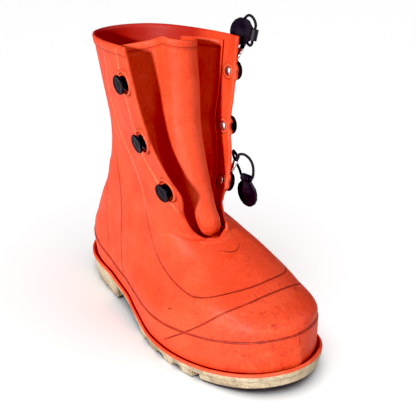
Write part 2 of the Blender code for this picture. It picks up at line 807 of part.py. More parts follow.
# ---------------------------------------------------------------- elastic loops
CORD_DIAMETER = 2.5
CORD_STEP = 5.0
CORD_STUB = 4.0
NECK_STEP = 4.0
CORD_LIFT = BUTTON_BASE + BUTTON_NECK / 2.0
STRAND_OFFSET = 1.45
FERRULE_LENGTH = 9.5
FERRULE_HALF_WIDTH = 3.5
FERRULE_SQUASH = 0.6
FERRULE_START = 11.5
TAB_THICK = 2.4
HEM_HALF = 5.0
HEM_OUTER = 3.7
HEM_INNER = 2.4

# Route of the neck loop round a button's neck: along the ferrule's run, across it, lift off the flap.
NECK_ROUTE = [(8.5, 2.0), (5.3, 3.9), (1.9, 5.05), (-2.8, 4.6), (-5.35, 0.0)]

LOOPS = [
    # name, button, in-plane run of the ferrule, lean away from the flap in degrees
    ("top", "medial_top", (0.0, 0.0, 1.0), 28.0),
    ("mid", "medial_mid", (0.0, 0.95, 0.3), 6.0),
    ("low", "medial_low", (0.0, 0.0, 1.0), 8.0),
]

# Hem centre, hem direction and hanging direction of each pull tab.
TABS = {
    "top": ((60.0, -31.0, 280.0), (0.28, 0.0, 0.96), (-0.12, 0.98, -0.08)),
    "mid": ((48.0, 28.0, 178.0), (0.1, 0.99, 0.0), (0.03, 0.0, -1.0)),
    "low": ((49.2, -32.0, 146.2), (0.12, -0.99, 0.02), (0.03, 0.0, -1.0)),
}

# Points of each pull cord between the straight runs at its two ends.
ROUTES = {
    "top": [
        (62.3, -10.5, 273.0), (63.4, -8.5, 279.5), (64.2, -9.5, 286.0), (64.8, -13.5, 291.2),
        (64.4, -19.5, 294.6), (63.5, -26.5, 293.4), (62.8, -30.6, 288.8), (61.5, -31.0, 284.5),
        (60.0, -31.0, 280.0), (58.9, -31.0, 276.0), (58.7, -29.8, 271.8), (59.8, -26.2, 269.4),
        (61.0, -22.3, 269.2), (61.7, -18.3, 270.2),
    ],
    "mid": [
        (47.0, 16.0, 204.0), (47.7, 22.0, 204.5), (48.3, 29.0, 202.5), (48.7, 35.3, 197.0),
        (48.9, 37.8, 189.5), (48.9, 36.5, 183.0), (48.7, 35.0, 179.5), (48.4, 31.6, 178.0),
        (48.0, 28.0, 178.0), (47.6, 24.4, 178.0), (47.3, 21.0, 179.5), (47.2, 19.5, 183.0),
        (47.4, 20.0, 189.5), (47.5, 19.5, 195.5), (47.2, 16.3, 199.6),
    ],
    "low": [
        (43.6, -28.8, 170.3), (46.0, -34.0, 171.0), (48.4, -39.0, 167.0), (49.8, -41.2, 160.0),
        (50.2, -40.6, 152.0), (50.0, -39.0, 147.7), (49.6, -35.6, 146.2), (49.2, -32.0, 146.2),
        (48.8, -28.4, 146.2), (48.4, -25.0, 147.7), (48.2, -22.8, 152.0), (48.0, -18.4, 157.5),
        (47.4, -15.2, 163.0), (46.2, -16.2, 168.5), (44.3, -20.0, 170.6),
    ],
}

# Half-width of a pull tab against the distance below its hem.
TAB_SHAPE = [(2.6, 5.5), (5.0, 7.2), (9.0, 10.8), (14.0, 12.0), (20.0, 11.6), (25.0, 8.8), (28.0, 5.0), (29.0, 2.0)]


def cord(name, points, step):
    """Round cord along a smooth curve through route points."""
    dense = spline(points)
    middle = dense[8:-8]
    length = sum(float(np.linalg.norm(b - a)) for a, b in zip(middle, middle[1:]))
    path = [dense[0], *resample(middle, round(length / step))[0], dense[-1]]
    curve = bpy.data.curves.new(name, "CURVE")
    curve.dimensions = "3D"
    curve.bevel_depth = CORD_DIAMETER / 2.0 * MM
    curve.bevel_resolution = 2
    curve.use_fill_caps = True
    line = curve.splines.new("POLY")
    line.points.add(len(path) - 1)
    for spot, p in zip(line.points, path):
        spot.co = (p[0] * MM, p[1] * MM, p[2] * MM, 1.0)
    curve.materials.append(cord_black)
    obj = bpy.data.objects.new(name, curve)
    bpy.context.scene.collection.objects.link(obj)
    return obj


def neck_frame(place, run):
    """Centre of a button's neck, its axis, and the ferrule's run and sideways directions."""
    axis = Vector(place.col[2][:3])
    ahead = Vector(run)
    ahead = (ahead - axis * ahead.dot(axis)).normalized()
    centre = place @ Vector((0.0, 0.0, CORD_LIFT))
    return centre, axis, ahead, axis.cross(ahead)


def pull_tab(name, hem, across_hem, hang):
    """Flat rubber tab that hangs from a round hem; the cord runs through the hem."""
    hem = Vector(hem)
    h = Vector(across_hem).normalized()
    d = Vector(hang)
    d = (d - h * d.dot(h)).normalized()
    m = h.cross(d)
    tube_verts = []
    sides = 10
    for radius in (HEM_OUTER, HEM_INNER):
        for end in (-HEM_HALF, HEM_HALF):
            for k in range(sides):
                angle = 2.0 * math.pi * (k + 0.5) / sides
                tube_verts.append(hem + h * end + (m * math.cos(angle) + d * math.sin(angle)) * radius)
    tube_faces = []
    for k in range(sides):
        n = (k + 1) % sides
        tube_faces.append((k, n, n + sides, k + sides))
        tube_faces.append((k + 2 * sides, k + 3 * sides, n + 3 * sides, n + 2 * sides))
        tube_faces.append((k, k + 2 * sides, n + 2 * sides, n))
        tube_faces.append((k + sides, n + sides, n + 3 * sides, k + 3 * sides))
    tab = add_mesh(name, tube_verts, tube_faces, black, False)
    edge = [(-w, u) for u, w in TAB_SHAPE] + [(w, u) for u, w in reversed(TAB_SHAPE)]
    plate_verts = []
    for face_side in (-0.5, 0.5):
        plate_verts += [hem + h * w + d * u + m * TAB_THICK * face_side for w, u in edge]
    count = len(edge)
    plate_faces = [tuple(range(count)), tuple(range(2 * count - 1, count - 1, -1))]
    for k in range(count):
        n = (k + 1) % count
        plate_faces.append((k, k + count, n + count, n))
    join_into(tab, name + "_plate", [(plate_verts, plate_faces)])
    return tab


for name, button, run, lean in LOOPS:
    centre, axis, ahead, aside = neck_frame(button_places[button], run)
    tilt = math.radians(lean)
    course = ahead * math.cos(tilt) + axis * math.sin(tilt)
    bend = (FERRULE_START - 5.5) * math.tan(tilt / 2.0)
    start = centre + ahead * FERRULE_START + axis * bend
    end = start + course * FERRULE_LENGTH
    across_run = course.cross(aside)
    place = Matrix((across_run, aside, course)).transposed().to_4x4()
    place.translation = start
    ferrule_profile = [
        (FERRULE_HALF_WIDTH - 0.5, 0.0),
        (FERRULE_HALF_WIDTH, 0.7),
        (FERRULE_HALF_WIDTH, FERRULE_LENGTH - 0.7),
        (FERRULE_HALF_WIDTH - 0.5, FERRULE_LENGTH),
    ]
    add_mesh("ferrule_" + name, *spun_solid(ferrule_profile, 10, place, FERRULE_SQUASH), steel)

    half = []
    entry = start - course * 2.0 * GAP
    half.append(entry + aside * STRAND_OFFSET)
    half += [centre + ahead * u + aside * w for u, w in NECK_ROUTE]
    other = [centre + ahead * u - aside * w for u, w in reversed(NECK_ROUTE[:-1])]
    route = half + other + [entry - aside * STRAND_OFFSET]
    cord("neck_loop_" + name, route, NECK_STEP)

    leave = end + course * GAP
    ahead_end = leave + course * CORD_STUB
    side_from = 1.0 if (Vector(ROUTES[name][0]) - end).dot(aside) > 0.0 else -1.0
    route = [leave + aside * STRAND_OFFSET * side_from, ahead_end + aside * STRAND_OFFSET * side_from]
    route += ROUTES[name]
    route += [ahead_end - aside * STRAND_OFFSET * side_from, leave - aside * STRAND_OFFSET * side_from]
    cord("pull_cord_" + name, route, CORD_STEP)
    pull_tab("pull_tab_" + name, *TABS[name])
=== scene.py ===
import math
import bpy
import bmesh
import numpy as np
from mathutils import Matrix, Vector
from mathutils.bvhtree import BVHTree
from mathutils.kdtree import KDTree


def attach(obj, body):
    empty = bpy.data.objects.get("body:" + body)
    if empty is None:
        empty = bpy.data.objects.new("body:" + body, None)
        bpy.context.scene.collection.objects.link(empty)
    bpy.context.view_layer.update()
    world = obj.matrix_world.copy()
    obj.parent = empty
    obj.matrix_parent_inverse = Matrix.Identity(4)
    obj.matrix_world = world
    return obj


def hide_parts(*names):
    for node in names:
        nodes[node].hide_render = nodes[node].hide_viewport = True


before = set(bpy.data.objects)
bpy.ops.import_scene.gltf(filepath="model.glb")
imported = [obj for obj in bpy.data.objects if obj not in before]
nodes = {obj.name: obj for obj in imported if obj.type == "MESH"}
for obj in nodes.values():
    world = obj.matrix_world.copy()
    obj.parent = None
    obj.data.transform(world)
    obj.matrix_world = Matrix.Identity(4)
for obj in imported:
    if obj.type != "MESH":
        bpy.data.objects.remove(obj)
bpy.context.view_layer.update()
mm = 0.001  # the shell's tables are in millimetres
levelNames = ("top", "mid", "low")
buttonNames = [side + "_" + level for side in ("lateral", "medial") for level in levelNames]

# camera: low three-quarter view on the lateral side, rolled a little
camera = dict(turn=-33.5, rise=24.5, roll=2.58, distance=0.8696, aim=(0.0, 0.0, 0.150),
              lens=81.5, shiftX=0.060, shiftY=-0.074)


def lookFrom(turn, rise):
    # unit vector toward a compass turn and a height angle, both in degrees
    turn, rise = math.radians(turn), math.radians(rise)
    return Vector((math.sin(turn) * math.cos(rise), -math.cos(turn) * math.cos(rise), math.sin(rise)))


def placeCamera():
    turn, roll = math.radians(camera["turn"]), math.radians(camera["roll"])
    back = lookFrom(camera["turn"], camera["rise"])
    right = Vector((math.cos(turn), math.sin(turn), 0.0))
    up = back.cross(right)
    across = right * math.cos(roll) - up * math.sin(roll)
    upward = right * math.sin(roll) + up * math.cos(roll)
    bpy.ops.object.camera_add()
    cam = bpy.context.object
    cam.name = "viewCamera"
    cam.matrix_world = Matrix((across, upward, back)).transposed().to_4x4()
    cam.location = Vector(camera["aim"]) + back * camera["distance"]
    cam.data.lens = camera["lens"]
    cam.data.shift_x = camera["shiftX"]
    cam.data.shift_y = camera["shiftY"]
    bpy.context.scene.camera = cam


placeCamera()
print("camera set")


# small tools used by every piece
def pickOnly(obj):
    bpy.ops.object.select_all(action="DESELECT")
    obj.select_set(True)
    bpy.context.view_layer.objects.active = obj


def keepPiece(obj, finish, slotName, *stoodFor):
    obj.data.materials.append(finish)
    pickOnly(obj)
    bpy.ops.object.transform_apply(location=True, rotation=True, scale=True)
    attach(obj, "root")
    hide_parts(*stoodFor)


def gridFaces(numbers, flip=False):
    # quads over a grid of point numbers
    corners = [numbers[:-1, :-1], numbers[:-1, 1:], numbers[1:, 1:], numbers[1:, :-1]]
    if flip:
        corners = [corners[k] for k in (0, 3, 2, 1)]
    return [tuple(face) for face in np.stack(corners, axis=2).reshape(-1, 4).tolist()]


def newObject(name, points, faces):
    mesh = bpy.data.meshes.new(name)
    mesh.from_pydata([tuple(p) for p in points], [], faces)
    mesh.polygons.foreach_set("use_smooth", [True] * len(mesh.polygons))
    obj = bpy.data.objects.new(name, mesh)
    bpy.context.scene.collection.objects.link(obj)
    return obj


def closedPiece(name, points, faces):
    obj = newObject(name, points, faces)
    shape = bmesh.new()
    shape.from_mesh(obj.data)
    bmesh.ops.recalc_face_normals(shape, faces=shape.faces)
    shape.to_mesh(obj.data)
    shape.free()
    return obj


def nodePoints(name):
    flat = np.zeros(len(nodes[name].data.vertices) * 3)
    nodes[name].data.vertices.foreach_get("co", flat)
    return flat.reshape(-1, 3)


def giveVector(obj, name, values):
    made = obj.data.attributes.new(name, "FLOAT_VECTOR", "POINT")
    made.data.foreach_set("vector", np.asarray(values, np.float32).ravel())


# materials are made one at a time, and work holds the one in hand
work = {}


def newFinish(name, sockets):
    mat = bpy.data.materials.new(name)
    mat.use_nodes = True
    work.update(tree=mat.node_tree, shader=mat.node_tree.nodes["Principled BSDF"])
    for key, value in sockets.items():
        work["shader"].inputs[key].default_value = value
    work["place"] = put("ShaderNodeTexCoord").outputs["Object"]
    return mat


def put(kind, given=None, **settings):
    made = work["tree"].nodes.new(kind)
    for key, value in settings.items():
        setattr(made, key, value)
    for key, value in (given or {}).items():
        if isinstance(value, bpy.types.NodeSocket):
            work["tree"].links.new(value, made.inputs[key])
        else:
            made.inputs[key].default_value = value
    return made


def calc(operation, first, second=0.0):
    return put("ShaderNodeMath", {0: first, 1: second}, operation=operation).outputs[0]


def times(first, second):
    return calc("MULTIPLY", first, second)


def most(first, *others):
    for value in others:
        first = calc("MAXIMUM", first, value)
    return first


def ramp(value, low, high, start=0.0, end=1.0):
    given = {"Value": value, "From Min": low, "From Max": high, "To Min": start, "To Max": end}
    return put("ShaderNodeMapRange", given, interpolation_type="SMOOTHSTEP").outputs[0]


def mix(factor, first, second):
    return put("ShaderNodeMix", {0: factor, 6: first, 7: second}, data_type="RGBA").outputs[2]


def noise(scale, detail=2.0, rough=0.5, stretch=None):
    place = work["place"]
    if stretch:
        place = put("ShaderNodeMapping", {"Vector": place, "Scale": stretch}).outputs[0]
    given = {"Vector": place, "Scale": scale, "Detail": detail, "Roughness": rough}
    return put("ShaderNodeTexNoise", given).outputs["Fac"]


def threeOf(vector):
    # the three numbers of a vector, or of a stored field given by its name
    if isinstance(vector, str):
        vector = put("ShaderNodeAttribute", attribute_name=vector).outputs["Vector"]
    return put("ShaderNodeSeparateXYZ", {0: vector}).outputs


def wire(value, socket):
    work["tree"].links.new(value, work["shader"].inputs[socket])


def bump(layers):
    # layers are (height, depth in metres) from the coarsest to the finest
    normal = None
    for height, depth in layers:
        given = {"Height": height, "Distance": depth, "Strength": 1.0}
        if normal:
            given["Normal"] = normal
        normal = put("ShaderNodeBump", given).outputs[0]
    wire(normal, "Normal")


# the shell's own shape, as its sections give it
def monotone(xs, ys):
    xs = np.array(xs, float)
    ys = np.array(ys, float)
    steps = np.diff(xs)
    slopes = np.diff(ys, axis=0) / steps.reshape((len(steps),) + (1,) * (ys.ndim - 1))
    tangents = np.zeros_like(ys)
    tangents[0] = slopes[0]
    tangents[-1] = slopes[-1]
    for i in range(1, len(xs) - 1):
        same = slopes[i - 1] * slopes[i] > 0.0
        total = np.where(same, slopes[i - 1] + slopes[i], 1.0)
        tangents[i] = np.where(same, 2.0 * slopes[i - 1] * slopes[i] / total, 0.0)

    def value(x):
        x = min(max(x, xs[0]), xs[-1])
        i = min(int(np.searchsorted(xs, x, side="right")) - 1, len(xs) - 2)
        t = (x - xs[i]) / steps[i]
        start = (2 * t ** 3 - 3 * t ** 2 + 1) * ys[i] + (t ** 3 - 2 * t ** 2 + t) * steps[i] * tangents[i]
        return start + (-2 * t ** 3 + 3 * t ** 2) * ys[i + 1] + (t ** 3 - t ** 2) * steps[i] * tangents[i + 1]

    return value


def smoothStep(t):
    t = np.clip(t, 0.0, 1.0)
    return t * t * (3.0 - 2.0 * t)


def roundEnds(t):
    return 2.0 * math.sqrt(max(t * (1.0 - t), 0.0))


def roundBack(t):
    return math.sqrt(max(t * (2.0 - t), 0.0))


def quarterRound(t):
    # 1 at an edge, falling along a quarter circle to 0
    return 1.0 - np.sqrt(1.0 - (1.0 - np.clip(t, 0.0, 1.0)) ** 2)


def spread(points, count):
    points = np.array(points, float)
    run = np.r_[0.0, np.cumsum(np.linalg.norm(np.diff(points, axis=0), axis=1))]
    marks = np.linspace(0.0, run[-1], count + 1)
    return np.stack([np.interp(marks, run, points[:, k]) for k in range(3)], axis=1), run[-1]


def smoothRoute(points, steps=8):
    points = [np.array(p, float) for p in points]
    points = [points[0] * 2 - points[1]] + points + [points[-1] * 2 - points[-2]]
    dense = []
    for i in range(1, len(points) - 2):
        p0, p1, p2, p3 = points[i - 1:i + 3]
        for t in np.arange(steps) / steps:
            a = 2 * p1 + (p2 - p0) * t + (2 * p0 - 5 * p1 + 4 * p2 - p3) * t * t
            dense.append(0.5 * (a + (3 * p1 - p0 - 3 * p2 + p3) * t ** 3))
    return dense + [points[-2]]


soleLength = 320.0
heelY = soleLength / 2.0
wall = 2.5
beadHeight = 3.0
beadWidth = 3.4
collarLean = 0.08
# the bead's own line: high at the heel, low under the waist and curling up at the toe
weltLine = dict(heel=27.5, waistDrop=15.5, dropFrom=0.22, dropOver=0.36, toeRise=16.0, riseFrom=0.62,
                riseOver=0.38, curl=1.8)
guard = dict(inset=5.2, flare=5.3, flareFrom=0.85, flareOver=0.12, backY=153.0, run=301.5)
# station from heel to toe, half-width on the lateral side, half-width on the medial side
outline = [
    (0.03, 20, 22), (0.08, 31, 33), (0.15, 38, 39.5), (0.25, 42, 40), (0.35, 46, 36.5), (0.45, 53, 35),
    (0.55, 60, 41), (0.65, 61.5, 51), (0.72, 59.5, 56.5), (0.80, 54, 60), (0.88, 44, 58.5), (0.95, 28.5, 45)
]
spans = (0.06, 0.25, 0.50, 0.75, 0.94)
# back y, z; front x, y, z; drop at mid-length; half-widths at the spans, lateral then medial
footSections = [
    (140, 78, 9, -125, 72, 9, (23, 35, 44, 53, 42), (23, 34, 34, 43, 34.5)),
    (127, 101, 8, -98, 86, 7, (22, 34, 39, 44, 33), (22, 32, 33, 39, 29)),
    (113, 125, 5, -73, 97, 4, (20, 33, 36, 38, 25), (20, 31, 33, 34, 24)),
    (104, 145, 1, -51, 108, 2, (20, 31, 34, 35, 22), (20, 30, 30, 23, 17)),
]
# back y, z; flap edge y, z, lateral then medial; half-widths at the spans and the edge, lateral then medial
shaftSections = [
    (100.5, 150, -50, 112, -50, 112, (20, 30, 33, 35, 26, 12), (20, 30, 29, 21, 14.5, 11)),
    (98.5, 155, -46, 120, -45.5, 119, (20, 29, 33, 35, 29, 21), (20, 30, 29, 21, 15, 12)),
    (96, 163, -45, 137, -34, 134, (20, 28, 33, 36, 33, 29), (20, 31, 32, 28, 22, 17)),
    (94, 176, -50, 158, -30, 155, (20, 28.5, 34, 38, 36, 34), (20, 32, 34, 34, 31, 29)),
    (92.5, 195, -37.5, 178, -25, 180, (20, 31, 35, 39, 41, 40.5), (21, 33, 36, 37, 36, 35)),
    (92.5, 210, -23, 200, -20, 200, (21, 32, 37, 42, 44, 44), (22, 34, 38, 39, 39, 38)),
    (94.5, 235, -12, 232, -22, 232, (22, 35, 41, 46, 48, 48), (23, 36, 41, 43, 43, 42)),
    (98.5, 274, 0, 281, -22, 283, (23, 39, 47, 51, 51, 51), (24, 41, 47, 49, 49, 48)),
]
guardHeight = monotone([0, 0.2, 0.4, 0.6, 0.8, 1], [56, 47, 41, 41, 48, 58.5])
centreAt = monotone([0, 0.55, 0.80, 1], [0, 0, 4, 8])
stations = [row[0] for row in outline]
lateralAt = monotone(stations, [(row[1] + centreAt(row[0])) / roundEnds(row[0]) for row in outline])
medialAt = monotone(stations, [(row[2] - centreAt(row[0])) / roundEnds(row[0]) for row in outline])


def outlinePoint(side, t, inset=0.0):
    y = heelY - inset - t * (soleLength - 2.0 * inset)
    half = (lateralAt(t) if side < 0 else medialAt(t)) * roundEnds(t)
    half = max(half - inset * min(1.0, half / 12.0), 0.0)
    return centreAt(t) + side * half, y


def weltTop(y):
    t = (heelY - y) / soleLength
    lowered = weltLine["waistDrop"] * smoothStep((t - weltLine["dropFrom"]) / weltLine["dropOver"])
    raised = max((t - weltLine["riseFrom"]) / weltLine["riseOver"], 0.0) ** weltLine["curl"]
    return weltLine["heel"] - lowered + weltLine["toeRise"] * raised


def featherPoint(side, t):
    x, y = outlinePoint(side, t, beadWidth + 1.0 + wall)
    return x, y, weltTop(y) - beadHeight


def guardPoint(side, t):
    flare = guard["flare"] * smoothStep((t - guard["flareFrom"]) / guard["flareOver"]) if side > 0 else 0.0
    return outlinePoint(side, t, guard["inset"] - flare)[0], guard["backY"] - guard["run"] * t, guardHeight(t)


def sideCurves(spots, rounding, lateral, medial):
    scale = [rounding(t) for t in spots]
    return {-1: monotone(spots, np.array(lateral) / scale), 1: monotone(spots, np.array(medial) / scale)}


def footPoint(row):
    backY, backZ, frontX, frontY, frontZ, drop, lateral, medial = row
    curves = sideCurves(spans, roundEnds, lateral, medial)

    def make(side, t):
        x = frontX * smoothStep(t / 0.9 - 0.1) + side * curves[side](t) * roundEnds(t)
        return x, backY + (frontY - backY) * t, backZ + (frontZ - backZ) * t - drop * 4.0 * t * (1.0 - t)

    return make


def shaftPoint(row):
    backY, backZ, lateralY, lateralZ, medialY, medialZ, lateral, medial = row
    curves = sideCurves(spans + (1.0,), roundBack, lateral, medial)
    ends = {-1: (lateralY, lateralZ), 1: (medialY, medialZ)}

    def make(side, t):
        endY, endZ = ends[side]
        x = side * curves[side](t) * roundBack(t)
        rise = smoothStep(0.15 + 0.7 * t) - smoothStep(0.15) * (1.0 - t) + (1.0 - smoothStep(0.85)) * t
        lean = collarLean * x * smoothStep((backZ - 200.0) / 74.0)
        return x, backY + (endY - backY) * t, backZ + (endZ - backZ) * rise - lean

    return make


# upper: a fine grid over the sections, with its panels, beads, bosses and creases
upper = dict(
    half=144,  # columns from a flap edge round to the back
    rows=(26, 34, 24, 22, 14, 8, 8, 12, 16, 16, 16, 20, 30),
    closedRows=6, sectionPoints=480, edgePoints=1600, edgeFrom=3.4,
    guardStep=1.0, cuffHeight=8.5, cuffStep=0.9,
    beadRise=0.8, beadWidth=4.0, lipWidth=6.5, lipStep=0.35, edgeRound=1.0, edgeReach=1.4,
    bossRadius=12.5, bossRing=10.2, bossRise=2.0, bossWidth=1.2, bossSink=0.08, bossBlend=2.2, bossLimit=6.0,
    rivetBoss=7.0, rivetProud=0.1, rivetFace=1.5, rivetBlend=1.6, rivetLimit=5.0, innerRound=0.8,
    attachBack=17.0, attachRise=0.7, attachWidth=1.6, waveDepth=0.16, rippleDepth=0.08, creaseFade=0.4,
)
far = 60.0  # the distance kept where a line is out of reach
makers = [featherPoint, guardPoint] + [footPoint(row) for row in footSections]
makers += [shaftPoint(row) for row in shaftSections]
steps = range(upper["sectionPoints"] + 1)
shares = [0.5 + 0.5 * math.cos(math.pi * i / upper["sectionPoints"]) for i in steps]
sectionRows = []
halfRuns = []
for maker in makers:
    halves = [spread([maker(side, t) for t in shares], upper["half"]) for side in (-1, 1)]
    sectionRows.append(np.vstack([halves[0][0], halves[1][0][::-1][1:]]))
    halfRuns.append((halves[0][1], halves[1][1]))
innerSurface = monotone(range(len(makers)), sectionRows)
runsAt = monotone(range(len(makers)), halfRuns)
throatLevel = upper["closedRows"] - 1


def innerRow(v):
    points = np.array(innerSurface(v))
    if v <= throatLevel:
        points[0] = points[-1] = 0.5 * (points[0] + points[-1])
    return points


levels = [band + k / count for band, count in enumerate(upper["rows"]) for k in range(count)]
levels = np.array(levels + [float(len(upper["rows"]))])
inner = np.array([innerRow(v) for v in levels])
high, wide = inner.shape[:2]
closed = levels <= throatLevel
along = np.empty_like(inner)
along[:, 1:-1] = inner[:, 2:] - inner[:, :-2]
along[:, 0] = np.where(closed[:, None], inner[:, 1] - inner[:, -2], inner[:, 1] - inner[:, 0])
along[:, -1] = np.where(closed[:, None], along[:, 0], inner[:, -1] - inner[:, -2])
upward = np.gradient(inner, axis=0)
outward = np.cross(upward, along)
outward /= np.linalg.norm(outward, axis=2)[:, :, None]
outward[0, :, 2] = 0.0
outward[0] /= np.linalg.norm(outward[0], axis=1)[:, None]
skin = inner + outward * wall
for p in skin[0]:
    p[2] = weltTop(p[1]) - beadHeight
climb = np.cumsum(np.r_[np.zeros((1, wide)), np.linalg.norm(np.diff(skin, axis=0), axis=2)], axis=0)
guardDrop = monotone([0, 0.2, 0.4, 0.6, 0.8, 1], [0.0, 2.0, 3.0, 3.5, 4.5, 5.0])
stationOf = np.clip((heelY - skin[upper["rows"][0], :, 1]) / soleLength, 0.0, 1.0)
guardDrops = np.array([guardDrop(t) for t in stationOf])
guardField = climb - climb[upper["rows"][0]] + guardDrops[None]  # distance above the mudguard line
cuffField = climb[-1] - climb  # distance below the collar
throatRow = int(np.argmax(levels >= throatLevel))
edgeLine = np.vstack([inner[throatRow:, 0][::-1], inner[throatRow:, -1]])
edgeLine = spread(edgeLine, upper["edgePoints"])[0]
edgeTree = KDTree(len(edgeLine))
for k, p in enumerate(edgeLine):
    edgeTree.insert(p, k)
edgeTree.balance()
edgeField = np.full((high, wide), far)
for r in range(int(np.argmax(levels >= upper["edgeFrom"])), high):
    edgeField[r] = [edgeTree.find(p)[2] for p in inner[r]]

fineAt = np.arange(high * wide).reshape(high, wide)
quads = gridFaces(fineAt)
skinTree = BVHTree.FromPolygons([tuple(p) for p in skin.reshape(-1, 3)], quads)
flatSkin = skin.reshape(-1, 3)
flatOut = outward.reshape(-1, 3)
laying = dict(points=90, pitch=1.6, least=12, reach=14.0)  # how a line is laid over the skin


def lineField(points, reach=laying["reach"]):
    # signed distance from a line laid over the skin, and how far along it, from 0 to 1
    line, run = spread(smoothRoute(points), laying["points"])
    line = np.array([skinTree.find_nearest(Vector(p))[0] for p in line])
    line = spread(line, int(max(run / laying["pitch"], laying["least"])))[0]
    best = np.full(len(flatSkin), reach)
    sign = np.ones(len(flatSkin))
    share = np.zeros(len(flatSkin))
    low = line.min(axis=0) - reach
    top = line.max(axis=0) + reach
    near = np.where(((flatSkin > low) & (flatSkin < top)).all(axis=1))[0]
    spot = flatSkin[near]
    for k in range(len(line) - 1):
        step = line[k + 1] - line[k]
        t = np.clip((spot - line[k]) @ step / (step @ step), 0.0, 1.0)
        away = spot - line[k] - t[:, None] * step
        gap = np.linalg.norm(away, axis=1)
        closer = gap < best[near]
        side = np.sign(np.einsum("ij,ij->i", np.cross(step, away), flatOut[near]))
        best[near[closer]] = gap[closer]
        sign[near[closer]] = side[closer]
        share[near[closer]] = (k + t[closer]) / (len(line) - 1)
    return (best * np.where(sign == 0, 1, sign)).reshape(high, wide), share.reshape(high, wide)


def fadeEnds(share, start, end):
    return smoothStep(share / max(start, 1e-6)) * smoothStep((1.0 - share) / max(end, 1e-6))


# seam lines in millimetres, each from its upper lateral end
seamLines = dict(
    vampPanel=[
        (-52, 43, 281), (-48, 46, 260), (-41, 54, 237), (-38, 56, 220), (-35, 53, 200), (-35, 42, 180),
        (-35, 28, 164), (-37, 13, 145), (-37, 8, 121), (-37, 4, 102), (-39, -11, 84), (-42, -32, 77),
        (-45, -57, 74), (-45, -74, 75), (-41, -85, 77), (-33, -94, 80), (-20, -101, 83), (-4, -106, 84),
        (16, -106, 84), (33, -103, 83), (42, -97, 80), (46, -86, 77), (46, -66, 75), (44, -40, 77),
        (41, -12, 84), (38, 4, 102), (36, 8, 121), (35, 13, 145), (35, 28, 164), (35, 42, 182), (36, 53, 202),
        (38, 56, 222), (42, 54, 240), (48, 46, 262), (50, 43, 281)],
    lateralStrip=[
        (-53, 14, 282), (-52, 13, 262), (-49, 10, 236), (-45, 5, 210), (-41, 1, 183), (-40, -14, 170),
        (-38, -33, 151), (-33, -44, 139)],
    medialStrip=[
        (50, -8, 282), (49, -8, 260), (44, -8, 234), (40, -8, 205), (37, -11, 180), (33, -16, 158),
        (27, -22, 140), (20, -32, 124)],
    toeCap=[
        (-57, -38, 15), (-57, -58, 30), (-54, -77, 44), (-48, -93, 57), (-36, -108, 71), (-16, -115, 76),
        (2, -117, 78), (20, -117, 78), (38, -114, 75), (50, -106, 64), (57, -92, 50)],
    lateralQuarter=[
        (-28, 74, 172), (-31, 68, 152), (-34, 59, 136), (-36, 55, 118), (-37, 55, 96), (-39, 57, 74),
        (-41, 55, 57), (-43, 50, 46), (-44, 49, 40)],
    medialQuarter=[
        (28, 74, 172), (31, 68, 152), (34, 59, 136), (35, 55, 118), (35, 55, 96), (36, 57, 74), (38, 55, 57),
        (38, 50, 46), (38, 49, 40)],
    lateralCounter=[(-27, 95, 128), (-29, 94, 115), (-33, 91, 96), (-35, 90, 73), (-38, 84, 52)],
    medialCounter=[(27, 95, 128), (29, 94, 115), (32, 91, 96), (34, 90, 73), (37, 84, 52)],
    toeSeam=[(7, -107, 83), (9, -124, 75), (9, -140, 68), (8, -152, 57), (9, -155, 42), (8, -156, 25)],
    smile=[(-9, -62, 105), (-3, -67, 103), (2, -70, 101), (8, -70, 101), (14, -66, 103), (17, -62, 105)],
    flapTip=[(-38, -46, 160), (-36, -46, 150), (-33, -45, 141), (-29, -46, 135)],
    vampMark=[(-54.8, -47, 53), (-54.5, -51, 54.6), (-53.7, -55, 57)],
    toeCrack=[(8.8, -151, 56), (9.4, -153, 48), (8.6, -153.5, 40)],
)
fields = {name: lineField(points) for name, points in seamLines.items()}


def bothSides(name):
    # one field for a pair of lines that lie far apart, both positive toward the toe
    a, b = fields["lateral" + name], fields["medial" + name]
    take = np.abs(a[0]) < np.abs(b[0])
    return np.where(take, a[0], -b[0]), np.where(take, a[1], b[1])


strips, quarters, counters = (bothSides(name) for name in ("Strip", "Quarter", "Counter"))
shortOnes = np.array([fields[name] for name in ("smile", "flapTip", "vampMark", "toeCrack")])
closest = np.abs(shortOnes[:, 0]).argmin(axis=0)[None, None]
shortLines = np.take_along_axis(shortOnes, closest, axis=0)[0]
print("seam lines laid")

# soft creases and ridges: depth, half-width, then the line they follow
creases = [
    (0.9, 7.0, [(-38, 52, 166), (-37, 30, 150), (-37, 12, 132)]),
    (0.8, 7.0, [(35, 50, 168), (36, 30, 150), (36, 12, 132)]),
    (0.9, 8.0, [(-24, 101, 150), (0, 106, 146), (24, 101, 150)]),
    (-0.6, 7.0, [(-26, 96, 166), (0, 100, 163), (26, 96, 166)]),
    (0.5, 9.0, [(-26, -60, 99), (-34, -46, 93), (-40, -28, 86)]),
    (0.45, 9.0, [(24, -58, 100), (32, -44, 94), (38, -26, 88)]),
    (-0.7, 6.0, [(-20, -66, 99), (0, -78, 97), (22, -66, 99)]),
    (0.8, 9.0, [(-47, -40, 68), (-46, -58, 71), (-40, -76, 76)]),
    (1.2, 6.0, [(-44, -12, 186), (-40, -26, 168), (-34, -38, 150)]),
    (0.8, 10.0, [(-40, 66, 120), (-40, 74, 96), (-42, 70, 72)]),
    (0.7, 10.0, [(36, 66, 120), (36, 74, 96), (38, 70, 72)]),
]
detail = np.zeros((high, wide))
for depth, reach, points in creases:
    gap, share = lineField(points, 3.0 * reach)
    detail -= depth * np.exp(-(gap / reach) ** 2) * fadeEnds(share, upper["creaseFade"], upper["creaseFade"])
x, y, z = (skin[..., k] for k in range(3))
detail += upper["waveDepth"] * np.sin(x / 11.0 + 1.3) * np.sin(y / 17.0 + 0.4) * np.sin(z / 14.0 + 2.1)
